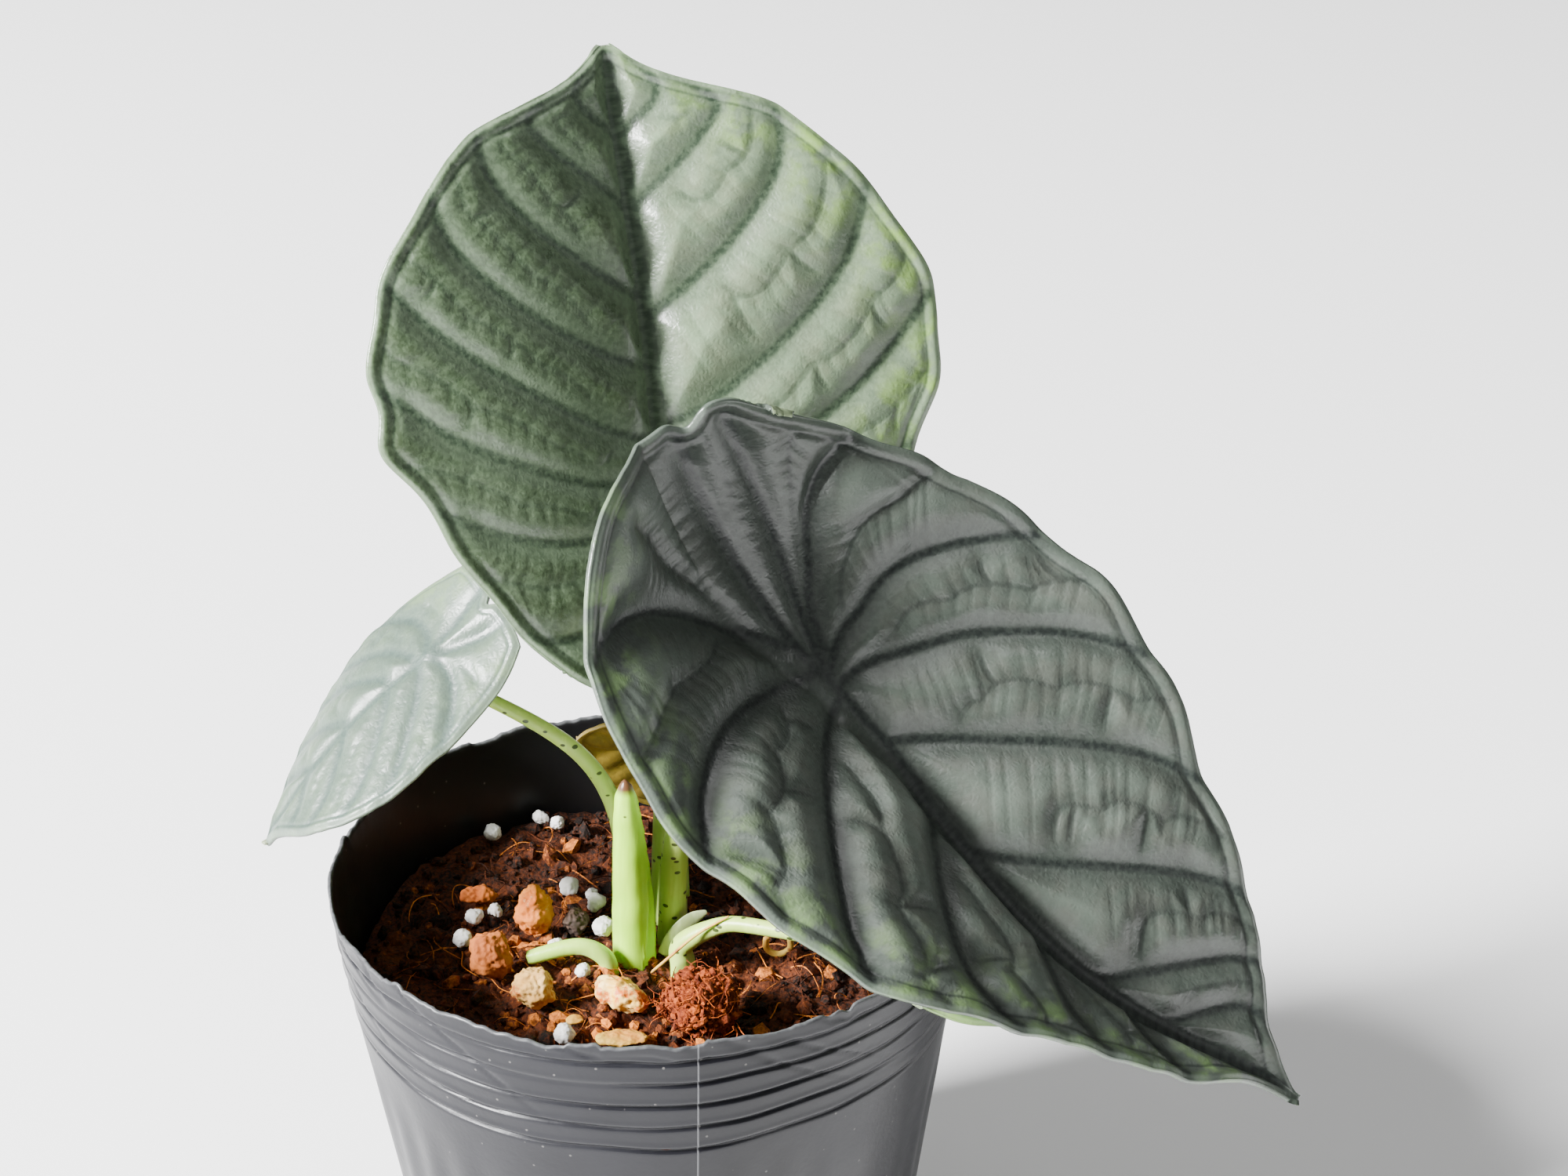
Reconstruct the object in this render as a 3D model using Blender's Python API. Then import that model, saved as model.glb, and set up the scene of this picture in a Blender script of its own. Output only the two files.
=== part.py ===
"""Potted alocasia: a young plant with puckered, shield-shaped leaves in a soft nursery pot.

Metres, +Z up. The origin is the centre of the pot's underside and the pot stands on z = 0.
-Y is the front of the plant, +X its right side.
"""

import math
import random

import bpy
import numpy as np
from mathutils import Vector, noise

for item in list(bpy.data.objects):
    bpy.data.objects.remove(item)

MM = 0.001
GAP = 0.3 * MM  # clearance between two touching pieces


# ---------------------------------------------------------------- shared ways of making a body
def material(name, colour, roughness=0.5):
    made = bpy.data.materials.get(name)
    if made is None:
        made = bpy.data.materials.new(name)
        made.use_nodes = True
        made.diffuse_color = (*colour, 1)
        shader = made.node_tree.nodes["Principled BSDF"]
        shader.inputs["Base Color"].default_value = (*colour, 1)
        shader.inputs["Roughness"].default_value = roughness
    return made


def body(name, points, faces, made):
    mesh = bpy.data.meshes.new(name)
    mesh.from_pydata([tuple(map(float, point)) for point in points], [], faces)
    mesh.materials.append(made)
    mesh.validate()
    found = bpy.data.objects.new(name, mesh)
    bpy.context.scene.collection.objects.link(found)
    return found


def turned(name, profile, sides, made, height=None):
    """A closed body turned round Z from (radius, z) points that start and end on the axis."""
    points, rings, faces = [], [], []
    for radius, z in profile:
        if radius == 0:
            rings.append([len(points)] * sides)
            points.append((0, 0, z + (height(0, 0) if height and z > 0.5 * POT_HEIGHT else 0)))
            continue
        start = len(points)
        for i in range(sides):
            a = 2 * math.pi * i / sides
            x, y = radius * math.cos(a), radius * math.sin(a)
            lift = height(x, y) if height and z > 0.5 * POT_HEIGHT else 0
            points.append((x, y, z + lift))
        rings.append(list(range(start, start + sides)))
    for low, high in zip(rings, rings[1:]):
        for i in range(sides):
            j = (i + 1) % sides
            corners = list(dict.fromkeys((low[i], low[j], high[j], high[i])))
            faces.append(corners)
    return body(name, points, faces, made)


def smooth_path(knots, steps):
    """Points on a Catmull-Rom curve through the knots; a knot is any row of numbers."""
    knots = np.array(knots, float)
    ends = np.vstack([2 * knots[0] - knots[1], knots, 2 * knots[-1] - knots[-2]])
    path = []
    for i in range(1, len(ends) - 2):
        a, b, c, d = ends[i - 1 : i + 3]
        for t in np.arange(steps) / steps:
            path.append(
                0.5 * (2 * b + (c - a) * t + (2 * a - 5 * b + 4 * c - d) * t**2 + (3 * b - a - 3 * c + d) * t**3)
            )
    path.append(knots[-1])
    return np.array(path)


def stem(name, knots, made, sides=10, steps=3, flat=1.0, up=(0.3, -1, 0.1)):
    """A tapering, curved round body through knots of (x, y, z, radius); flat under 1 squashes it."""
    path = smooth_path(knots, steps)
    points, faces = [], []
    along = np.gradient(path[:, :3], axis=0)
    for centre, tangent in zip(path, along):
        tangent = tangent / np.linalg.norm(tangent)
        wide = np.cross(tangent, up)
        wide /= np.linalg.norm(wide)
        thick = np.cross(wide, tangent)
        for i in range(sides):
            a = 2 * math.pi * i / sides
            points.append(centre[:3] + centre[3] * (wide * math.cos(a) + flat * thick * math.sin(a)))
    for k in range(len(path) - 1):
        for i in range(sides):
            j = (i + 1) % sides
            faces.append((k * sides + i, (k + 1) * sides + i, (k + 1) * sides + j, k * sides + j))
    faces.append(tuple(range(sides)))
    faces.append(tuple(range(len(points) - 1, len(points) - 1 - sides, -1)))
    return body(name, points, faces, made)


def lump(name, centre, half, made, seed, rough=0.12, detail=2, turn=(0, 0, 0)):
    """A rough closed lump inside the half-sizes given."""
    bpy.ops.mesh.primitive_ico_sphere_add(subdivisions=detail, radius=1)
    found = bpy.context.object
    found.name = name
    for vertex in found.data.vertices:
        way = vertex.co.normalized()
        dent = noise.noise(way * 1.7 + Vector((seed * 3.1, seed * 1.7, seed)))
        vertex.co = way * (1 - 0.3 * rough + rough * dent)
        vertex.co = Vector(c * h for c, h in zip(vertex.co, half))
    found.rotation_euler = turn
    found.location = centre
    bpy.ops.object.transform_apply(location=True, rotation=True, scale=False)
    found.data.materials.append(made)
    return found


# ---------------------------------------------------------------- the pot
POT_HEIGHT = 105 * MM
RIM_RADIUS = 60 * MM
BASE_RADIUS = 45.4 * MM
WALL = 0.9 * MM
FLOOR = 1.2 * MM
SIDES = 56
GROOVES = 5  # rings pressed in under the rim
GROOVE_TOP = 3.8 * MM  # below the rim
GROOVE_PITCH = 4.9 * MM
GROOVE_DEPTH = 0.45 * MM
HOLES = 6
HOLE_RADIUS = 3.5 * MM
HOLE_RING = 0.72 * BASE_RADIUS

film = material("pot_film", (0.05, 0.05, 0.06), 0.35)


def wall_radius(z):
    return BASE_RADIUS + (RIM_RADIUS - BASE_RADIUS) * z / POT_HEIGHT


outline = [(0, 0), (BASE_RADIUS - 1.5 * MM, 0), (wall_radius(1.5 * MM), 1.5 * MM)]
for groove in reversed(range(GROOVES)):
    z = POT_HEIGHT - GROOVE_TOP - groove * GROOVE_PITCH
    outline += [
        (wall_radius(z - 0.9 * MM), z - 0.9 * MM),
        (wall_radius(z) - GROOVE_DEPTH, z),
        (wall_radius(z + 0.9 * MM), z + 0.9 * MM),
    ]
outline += [
    (RIM_RADIUS, POT_HEIGHT),
    (RIM_RADIUS - WALL, POT_HEIGHT),
    (wall_radius(FLOOR) - WALL, FLOOR),
    (0, FLOOR),
]
pot = turned("nursery_pot", outline, SIDES, film)

for hole in range(HOLES):
    a = 2 * math.pi * (hole + 0.31) / HOLES  # clear of the seams between floor facets
    bpy.ops.mesh.primitive_cylinder_add(
        vertices=16,
        radius=HOLE_RADIUS,
        depth=6 * FLOOR,
        location=(HOLE_RING * math.cos(a), HOLE_RING * math.sin(a), 0),
        rotation=(0, 0, a + 0.1),
    )
    cutter = bpy.context.object
    cutter.name = f"hole_cutter_{hole}"
    cutter.hide_render = True
    cutter.display_type = "WIRE"
    cut = pot.modifiers.new(cutter.name, "BOOLEAN")
    cut.operation = "DIFFERENCE"
    cut.solver = "EXACT"
    cut.object = cutter


# ---------------------------------------------------------------- the potting mix
MIX_TOP = 84 * MM  # at the wall
MOUND = 3.5 * MM  # rise at the crown
MOUND_SPREAD = 20 * MM
SLOPE = 2.2 * MM  # higher at the back left, lower at the front right
SOCKET_DEPTH = 5 * MM

coir = material("coir_mix", (0.16, 0.06, 0.03), 0.9)


def mix_rise(x, y):
    """Height of the surface over MIX_TOP."""
    mound = MOUND * math.exp(-(x * x + y * y) / (2 * MOUND_SPREAD**2))
    return mound + SLOPE * (0.7 * y - 0.6 * x) / RIM_RADIUS


def mix_z(x, y):
    return MIX_TOP + mix_rise(x, y)


edge = wall_radius(MIX_TOP - SLOPE) - WALL - GAP
surface = [(edge * k / 7, MIX_TOP) for k in range(6, 0, -1)]
mix = turned(
    "potting_mix",
    [(0, FLOOR + GAP), (wall_radius(FLOOR) - WALL - GAP, FLOOR + GAP), (edge, MIX_TOP)]
    + surface
    + [(0, MIX_TOP)],
    SIDES,
    coir,
    height=mix_rise,
)

# ---------------------------------------------------------------- the crown: where each stem leaves the mix
# x, y, radius of each base; the neighbours are kept apart by at least CROWN_GAP
CROWN_GAP = 0.6 * MM
SHEATH_BASE = 3.8 * MM
FRONT_BASE = 3.3 * MM
BACK_BASE = 3.0 * MM
LEFT_BASE = 2.4 * MM
LOW_BASE = 2.6 * MM
STUB_BASE = 1.9 * MM
YELLOW_BASE = 1.5 * MM


def beside(other, other_radius, radius, bearing, extra=0.0):
    """A base set against another at a bearing in degrees, anticlockwise from +X."""
    reach = other_radius + radius + CROWN_GAP + extra
    a = math.radians(bearing)
    return (other[0] + reach * math.cos(a), other[1] + reach * math.sin(a))


sheath_at = (-4.2 * MM, -4.0 * MM)
front_at = beside(sheath_at, SHEATH_BASE, FRONT_BASE, 32, 0.8 * MM)
back_at = beside(front_at, FRONT_BASE, BACK_BASE, 105, 1.0 * MM)
left_at = beside(sheath_at, SHEATH_BASE, LEFT_BASE, 98, 2.4 * MM)
low_at = beside(front_at, FRONT_BASE, LOW_BASE, -75, 1.8 * MM)
stub_at = beside(sheath_at, SHEATH_BASE, STUB_BASE, 229, 0.6 * MM)
yellow_at = beside(back_at, BACK_BASE, YELLOW_BASE, 60, 2.0 * MM)

crown_floor = MIX_TOP + MOUND - SOCKET_DEPTH
roots = {
    "sheath": (sheath_at, SHEATH_BASE), "front": (front_at, FRONT_BASE), "back": (back_at, BACK_BASE),
    "left": (left_at, LEFT_BASE), "low": (low_at, LOW_BASE), "stub": (stub_at, STUB_BASE),
    "yellow": (yellow_at, YELLOW_BASE),
}
for label, ((x, y), radius) in roots.items():
    depth = SOCKET_DEPTH + 12 * MM
    bpy.ops.mesh.primitive_cylinder_add(
        vertices=18, radius=radius + 1.3 * GAP, depth=depth, location=(x, y, crown_floor + depth / 2)
    )
    socket = bpy.context.object
    socket.name = f"socket_{label}"
    socket.hide_render = True
    socket.display_type = "WIRE"
    cut = mix.modifiers.new(socket.name, "BOOLEAN")
    cut.operation = "DIFFERENCE"
    cut.solver = "EXACT"
    cut.object = socket
ROOTED = crown_floor + GAP  # every stem stands on its socket's floor


# ---------------------------------------------------------------- leaf blades
BLADE = 0.9 * MM  # thickness

# Sizes of each blade in millimetres and degrees: place of the hub where the stem meets it,
# heading, tilt and roll, then its outline and how it bends, folds, curls and twists.
blades = {
    "back": dict(
        at=(2.9, 20.8, 169.7), yaw=103.7, pitch=73, roll=-12, long=117.5, wide=111, hub=0.29, widest=0.54,
        blunt=0.14, base=(1.22, 0.61), tip=(1.57, 0.71), drip=3, notch=7.1, lobe=6.1, bend=(-10.6, 7),
        fold=(15.8, 21), curl=(-27.5, -19), twist=4.1, sweep=-2,
    ),
    "front": dict(
        at=(28.4, -20, 154), yaw=-15.3, pitch=-36, roll=-17.2, long=171, wide=101, hub=0.33, widest=0.49,
        blunt=0.09, base=(2.27, 0.64), tip=(1.47, 0.99), drip=5, notch=4.9, lobe=6.7, bend=(-6.6, 49.4),
        fold=(28.6, 13.2), curl=(1.6, -17.1), twist=20.4, sweep=-2.3,
    ),
    "left": dict(
        at=(-41.3, 3.5, 148.5), yaw=196, pitch=-32, roll=13.2, long=61, wide=41.8, hub=0.26, widest=0.56,
        blunt=0.13, base=(1.92, 0.58), tip=(1.84, 0.78), drip=2, notch=1.5, lobe=0.5, bend=(-25.5, 13.2),
        fold=(-9.2, 4.7), curl=(-13.2, -24.6), twist=-28.5, sweep=-5.5,
    ),
    "low": dict(
        at=(55.5, -34, 110), yaw=25, pitch=0, roll=-35, long=52, wide=36, hub=0.3, widest=0.5,
        blunt=0.1, base=(2, 0.6), tip=(1.6, 0.9), drip=3, notch=3, lobe=3, bend=(-20, 12),
        fold=(4, 6), curl=(-26, -20), twist=0, sweep=0,
    ),
    "yellow": dict(
        at=(6, 36, 107.5), yaw=170, pitch=14, roll=-70, long=34, wide=27, hub=0.32, widest=0.52,
        blunt=0.14, base=(2, 0.6), tip=(2.1, 0.62), drip=0.5, notch=2, lobe=2, bend=(-16, 10),
        fold=(-4, -4), curl=(-26, -26), twist=0, sweep=0,
    ),
}


def axes(leaf):
    """The blade's own axes: across, to the tip, and out of its upper face."""
    yaw, pitch, roll = (math.radians(leaf[k]) for k in ("yaw", "pitch", "roll"))
    ahead = np.array([math.cos(yaw) * math.cos(pitch), math.sin(yaw) * math.cos(pitch), math.sin(pitch)])
    out = np.array([-math.cos(yaw) * math.sin(pitch), -math.sin(yaw) * math.sin(pitch), math.cos(pitch)])
    across = np.cross(ahead, out)
    return (
        across * math.cos(roll) + out * math.sin(roll),
        ahead,
        out * math.cos(roll) - across * math.sin(roll),
    )


def half_width(leaf, v):
    """Share of the half width at v, from 0 at the lobes to 1 at the tip."""
    widest, blunt = leaf["widest"], leaf["blunt"]
    s = np.where(v < widest, (widest - v) / (widest + blunt), (v - widest) / (1 - widest)).clip(0, 1)
    low = (1 - s ** leaf["base"][0]) ** leaf["base"][1]
    high = (1 - s ** leaf["tip"][0]) ** leaf["tip"][1]
    return np.where(v < widest, low, high)


def blade_at(leaf, v, t):
    """A point of the blade's middle surface: v from lobes to tip, t from -1 to 1 across."""
    long, hub = leaf["long"], leaf["hub"]
    x = t * leaf["wide"] / 2 * half_width(leaf, v)
    y = (v - hub) * long + leaf["drip"] * ((v - 0.86) / 0.14).clip(0, 1) ** 2
    y = y + (1 - v) ** 3 * (leaf["notch"] * np.exp(-((t / 0.16) ** 2)) + leaf["lobe"] * t**4)
    # the midrib, an arc that bends one way toward the tip and another toward the lobes
    ahead, behind = (1 - hub) * long, hub * long
    rate = np.radians(np.where(y > 0, leaf["bend"][0] / ahead, leaf["bend"][1] / behind))
    angle = rate * y
    safe = np.where(abs(rate) < 1e-9, 1e-9, rate)
    rib_y, rib_z = np.sin(angle) / safe, (1 - np.cos(angle)) / safe
    # across: a fold at the midrib, then a curl toward the edge
    fold = np.radians(np.where(x > 0, leaf["fold"][1], leaf["fold"][0]))
    bow = np.radians(np.where(x > 0, leaf["curl"][1], leaf["curl"][0])) / (leaf["wide"] / 2)
    bow = np.where(abs(bow) < 1e-9, 1e-9, bow)
    steep = fold + bow * abs(x)
    out = (np.sin(steep) - np.sin(fold)) / bow * np.sign(x)
    lift = (np.cos(fold) - np.cos(steep)) / bow
    turn = np.radians(leaf["twist"]) * y / long
    side = out * np.cos(turn) - lift * np.sin(turn) + math.radians(leaf["sweep"]) * y * abs(y) / long
    up = out * np.sin(turn) + lift * np.cos(turn)
    local = np.stack([side, rib_y - np.sin(angle) * up, rib_z + np.cos(angle) * up], -1)
    return (local @ np.array(axes(leaf)) + np.array(leaf["at"])) * MM


def blade(key, made, rows=15, columns=12):
    """A thin closed shell on both sides of the middle surface, one corner row at the tip."""
    leaf = blades[key]
    v = np.linspace(0, 1, rows + 1)
    v = v + 0.045 * np.sin(2 * np.pi * v)  # closer rows at both ends
    t = np.linspace(-1, 1, columns + 1)
    v, t = np.meshgrid(v, t, indexing="ij")
    small = 1e-4
    middle = blade_at(leaf, v, t)
    inner_v, inner_t = v.clip(small, 0.995), t.clip(-0.999, 0.999)
    along = blade_at(leaf, inner_v + small, inner_t) - blade_at(leaf, inner_v - small, inner_t)
    across = blade_at(leaf, inner_v, inner_t + small) - blade_at(leaf, inner_v, inner_t - small)
    out = np.cross(across, along)
    out /= np.linalg.norm(out, axis=-1, keepdims=True)
    top, under = middle + out * BLADE / 2, middle - out * BLADE / 2
    count = rows * (columns + 1)
    points = [*top[:rows].reshape(-1, 3), top[rows, columns // 2]]
    points += [*under[:rows].reshape(-1, 3), under[rows, columns // 2]]
    down = count + 1

    def at(i, j):
        return count if i == rows else i * (columns + 1) + j

    faces = []
    for i in range(rows):
        for j in range(columns):
            corners = list(dict.fromkeys((at(i, j), at(i, j + 1), at(i + 1, j + 1), at(i + 1, j))))
            faces.append(corners)
            faces.append([corner + down for corner in reversed(corners)])
    rim = [at(i, columns) for i in range(rows + 1)] + [at(i, 0) for i in range(rows - 1, -1, -1)]
    rim += [at(0, j) for j in range(1, columns)]
    for a, b in zip(rim, rim[1:] + rim[:1]):
        faces.append((b, a, a + down, b + down))
    return body(f"leaf_blade_{key}", points, faces, made)


def under_hub(key, below):
    """A point below the hub of a blade, along its own normal; below is measured from its underside."""
    leaf = blades[key]
    hub = blade_at(leaf, np.array(leaf["hub"]), np.array(0.0))
    out = axes(leaf)[2]
    return tuple(hub - out * (BLADE / 2 + below))


grey_green = material("leaf_grey_green", (0.16, 0.2, 0.17), 0.4)
silver_green = material("leaf_silver_green", (0.3, 0.37, 0.3), 0.4)
pale_green = material("leaf_pale_green", (0.45, 0.52, 0.46), 0.4)
yellowing = material("leaf_yellowing", (0.5, 0.38, 0.06), 0.5)
blade("back", silver_green, rows=16, columns=14)
blade("front", grey_green, rows=18, columns=14)
blade("left", pale_green)
blade("low", grey_green)
blade("yellow", yellowing, rows=10, columns=8)

# ---------------------------------------------------------------- leaf stems, from crown to hub
lime = material("stem_lime", (0.38, 0.55, 0.1), 0.4)
HUB_GAP = GAP


def stem_up(key, base, base_radius, way, top_radius, approach):
    """Stands in the crown, passes the points of way (x, y, z, radius) and meets the hub squarely."""
    end = under_hub(key, HUB_GAP + 0.35 * top_radius)
    before = under_hub(key, approach)
    knots = [(*base, ROOTED, base_radius), (*base, ROOTED + SOCKET_DEPTH, base_radius)]
    knots += [(*base, ROOTED + 1.9 * SOCKET_DEPTH, 0.9 * base_radius)]
    knots += [tuple(value * MM for value in point) for point in way]
    knots += [(*before, top_radius), (*end, top_radius)]
    return stem(f"stem_{key}", knots, lime)


stem_up("back", back_at, BACK_BASE, [(1.5, 12, 115, 2.2), (3, 20, 140, 1.9)], 1.7 * MM, 9 * MM)
stem_up("front", front_at, FRONT_BASE, [(4.2, -0.5, 112, 2.7), (10, -6, 128, 2.1)], 1.8 * MM, 13 * MM)
stem_up("left", left_at, LEFT_BASE, [(-7.4, 5, 114, 1.9), (-16.5, 5, 129, 1.6)], 1.3 * MM, 7 * MM)
stem_up(
    "low", low_at, LOW_BASE,
    [(12.7, -10, 98, 1.7), (19, -13, 99.6, 1.6), (30, -18, 100.6, 1.45), (42, -24.5, 104, 1.35),
     (49.5, -29.4, 107.4, 1.3)],
    1.2 * MM, 2.4 * MM,
)
stem_up("yellow", yellow_at, YELLOW_BASE, [(4, 26, 99, 1.1)], 0.9 * MM, 7 * MM)

# ---------------------------------------------------------------- the rest of the crown
SPEAR_HEIGHT = 38 * MM  # new leaf still rolled in its sheath, above the mix

x, y = sheath_at
top = MIX_TOP + MOUND
spear = material("new_leaf_lime", (0.4, 0.62, 0.06), 0.4)
stem(
    "new_leaf_spear",
    [
        (x, y, ROOTED, SHEATH_BASE),
        (x, y, top + 0.2 * SPEAR_HEIGHT, 0.92 * SHEATH_BASE),
        (x + 0.1 * MM, y + 0.3 * MM, top + 0.55 * SPEAR_HEIGHT, 0.86 * SHEATH_BASE),
        (x, y + 0.8 * MM, top + 0.82 * SPEAR_HEIGHT, 0.6 * SHEATH_BASE),
        (x - 0.2 * MM, y + 1.2 * MM, top + SPEAR_HEIGHT, 0.14 * SHEATH_BASE),
    ],
    spear,
    sides=12,
)

x, y = stub_at
stem(
    "cut_stem_stub",
    [
        (x, y, ROOTED, STUB_BASE),
        (x, y, top + 0.2 * MM, STUB_BASE),
        (x - 1.2 * MM, y, top + 3.2 * MM, 0.98 * STUB_BASE),
        (x - 6.0 * MM, y + 0.2 * MM, top + 5.2 * MM, 0.9 * STUB_BASE),
        (x - 15.5 * MM, y + 0.2 * MM, top + 2.4 * MM, 0.8 * STUB_BASE),
    ],
    lime,
)

husk = material("old_sheath_pale", (0.5, 0.55, 0.3), 0.5)
mid_x = (front_at[0] + low_at[0]) / 2
mid_y = (front_at[1] * LOW_BASE + low_at[1] * FRONT_BASE) / (LOW_BASE + FRONT_BASE)
stem(
    "old_sheath",
    [
        (mid_x - 3.0 * MM, mid_y - 0.8 * MM, top + 0.5 * MM, 1.2 * MM),
        (mid_x - 0.5 * MM, mid_y - 0.2 * MM, top + 4.0 * MM, 2.2 * MM),
        (mid_x + 2.6 * MM, mid_y + 0.5 * MM, top + 7.5 * MM, 1.8 * MM),
        (mid_x + 5.6 * MM, mid_y + 1.0 * MM, top + 9.0 * MM, 0.5 * MM),
    ],
    husk,
    sides=8,
    flat=0.25,
)

# ---------------------------------------------------------------- loose pieces lying on the mix
bead = material("perlite", (0.75, 0.72, 0.66), 0.8)
bark = material("husk_chip", (0.25, 0.12, 0.06), 0.85)
fibre = material("coir_fibre", (0.4, 0.12, 0.04), 0.9)
old = material("old_corm", (0.7, 0.5, 0.16), 0.6)
dry = material("dry_flake", (0.65, 0.45, 0.15), 0.7)

# perlite beads: x, y, radius in millimetres, from the back left to the front
beads = (
    (-35, 40, 2.0), (-25.6, 46, 1.7), (-22.2, 44.2, 1.6), (-18, 18, 2.2), (-13.4, 15.6, 1.5),
    (-12.4, 11.4, 2.0), (-32, 11, 1.6), (-35.9, 8.9, 1.8), (-37.6, 1.4, 2.0), (-10.4, 2.3, 2.2),
    (-19.2, -2.6, 1.7), (-13.6, -11.2, 1.7), (-16, -29.4, 2.1),
)
for number, (x, y, radius) in enumerate(beads, 1):
    x, y, radius = x * MM, y * MM, radius * MM
    lump(
        f"perlite_{number:02d}", (x, y, mix_z(x, y) + radius + GAP), (radius,) * 3, bead, number,
        rough=0.12,
    )


def resting(x, y, half_height, slack=0.5 * MM):
    return (x * MM, y * MM, mix_z(x * MM, y * MM) + half_height * MM + slack)


lump("husk_chip_1", resting(-23.6, 3.0, 6.0), (3.9 * MM, 3.8 * MM, 6.0 * MM), bark, 21)
lump("husk_chip_2", resting(-31, -10, 5.4), (4.6 * MM, 4.4 * MM, 5.4 * MM), bark, 22)
lump("husk_chip_3", resting(-22.2, -19, 4.2), (4.4 * MM, 4.2 * MM, 4.2 * MM), bark, 23)
lump("husk_chip_4", resting(-16.2, 3.4, 3.0), (2.9 * MM, 2.8 * MM, 3.0 * MM), bark, 24)
lump("husk_chip_5", resting(-35.5, 15.8, 2.0), (4.0 * MM, 3.0 * MM, 2.0 * MM), bark, 25)
lump("coir_clump", resting(9, -25, 6.0), (7.8 * MM, 8.0 * MM, 6.0 * MM), fibre, 26, rough=0.16)
lump(
    "old_corm_piece", resting(-5.8, -20.6, 3.6), (6.2 * MM, 3.6 * MM, 3.3 * MM), old, 27,
    turn=(0, math.radians(8), math.radians(-27)),
)
lump("dry_flake_1", resting(-5.5, -29.5, 1.0), (5.4 * MM, 2.6 * MM, 1.0 * MM), dry, 28)
lump("dry_flake_2", resting(-14.5, -24, 0.8), (2.2 * MM, 1.9 * MM, 0.8 * MM), dry, 29, detail=1)

x, y = 23.2 * MM, -2.5 * MM
turn = [math.radians(a) for a in (150, 210, 270, 330, 390)]
stem(
    "dry_curl",
    [
        (x + 2.6 * MM * math.cos(a), y, mix_z(x, y) + 3.9 * MM + 2.6 * MM * math.sin(a), 0.7 * MM)
        for a in turn
    ],
    dry,
    sides=8,
    up=(0, 1, 0),
    flat=1.0,
)

x, y = low_at
lean = LOW_BASE + CROWN_GAP + 0.5 * MM
stem(
    "dry_root",
    [
        (x - 6 * MM, y - lean, mix_z(x, y) + 1.2 * MM, 0.35 * MM),
        (x - 2 * MM, y - lean - 0.4 * MM, mix_z(x, y) + 5.4 * MM, 0.35 * MM),
        (x + 3 * MM, y - lean, mix_z(x, y) + 10.0 * MM, 0.32 * MM),
        (x + 9 * MM, y - lean - 0.2 * MM, mix_z(x, y) + 14.0 * MM, 0.28 * MM),
    ],
    dry,
    sides=6,
)
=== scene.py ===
import math
import random

import bpy
import numpy as np
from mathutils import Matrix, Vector, kdtree, noise


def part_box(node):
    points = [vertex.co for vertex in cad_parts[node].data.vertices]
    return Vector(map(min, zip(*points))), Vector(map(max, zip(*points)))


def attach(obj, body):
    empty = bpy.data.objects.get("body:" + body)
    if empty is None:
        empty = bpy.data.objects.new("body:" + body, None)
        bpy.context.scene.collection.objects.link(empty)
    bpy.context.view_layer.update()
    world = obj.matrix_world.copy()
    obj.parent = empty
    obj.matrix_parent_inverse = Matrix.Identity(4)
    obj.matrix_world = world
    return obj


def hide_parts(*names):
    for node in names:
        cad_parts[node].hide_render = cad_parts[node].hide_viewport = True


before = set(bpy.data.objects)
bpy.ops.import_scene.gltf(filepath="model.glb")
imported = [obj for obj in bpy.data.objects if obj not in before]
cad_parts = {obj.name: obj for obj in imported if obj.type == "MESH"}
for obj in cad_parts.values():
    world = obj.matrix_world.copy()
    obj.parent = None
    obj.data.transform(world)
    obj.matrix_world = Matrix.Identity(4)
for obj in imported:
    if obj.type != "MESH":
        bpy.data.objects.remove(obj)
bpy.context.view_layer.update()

# ------------------------------------------------------------------ camera, light and floor
# A long portrait lens looks down on the plant from the front, in a bright white studio.
lens = bpy.data.cameras.new("camera")
lens.lens = 70
lens.sensor_width = 36
lens.clip_start = 0.01
camera = bpy.data.objects.new("camera", lens)
camera.location = (0.0243, -0.4934, 0.4096)
camera.rotation_euler = (math.radians(90 - 26.5), 0, 0)
bpy.context.scene.collection.objects.link(camera)
bpy.context.scene.camera = camera


def feed(tree, node, inputs):
    """Gives the node's inputs, by name or number, their plain values and links."""
    for key, value in inputs.items():
        if isinstance(value, bpy.types.NodeSocket):
            tree.links.new(value, node.inputs[key])
        else:
            node.inputs[key].default_value = value


def wire(tree, kind, inputs=(), **settings):
    """A new shader node with these settings and inputs."""
    node = tree.nodes.new(kind)
    for key, value in settings.items():
        setattr(node, key, value)
    feed(tree, node, dict(inputs))
    return node


def ranged(tree, source, near, far, low, high, easing="LINEAR"):
    """The source mapped from near..far to low..high, and held at the ends."""
    return wire(
        tree, "ShaderNodeMapRange",
        {"Value": source, "From Min": near, "From Max": far, "To Min": low, "To Max": high},
        interpolation_type=easing,
    ).outputs["Result"]


world = bpy.data.worlds.new("studio")
bpy.context.scene.world = world
world.use_nodes = True
tree = world.node_tree
# the right side of the room lights the plant less than the left, but all its walls look white
toward = wire(tree, "ShaderNodeTexCoord").outputs["Generated"]
rightward = wire(tree, "ShaderNodeSeparateXYZ", {"Vector": toward}).outputs["X"]
seen = wire(tree, "ShaderNodeLightPath").outputs["Is Camera Ray"]
room = {"Factor": seen, "A": ranged(tree, rightward, -0.6, 0.8, 0.32, 0.09), "B": 1.6}
wall = wire(tree, "ShaderNodeMix", room).outputs["Result"]
feed(tree, tree.nodes["Background"], {"Color": (1, 1, 1, 1), "Strength": wall})


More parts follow.
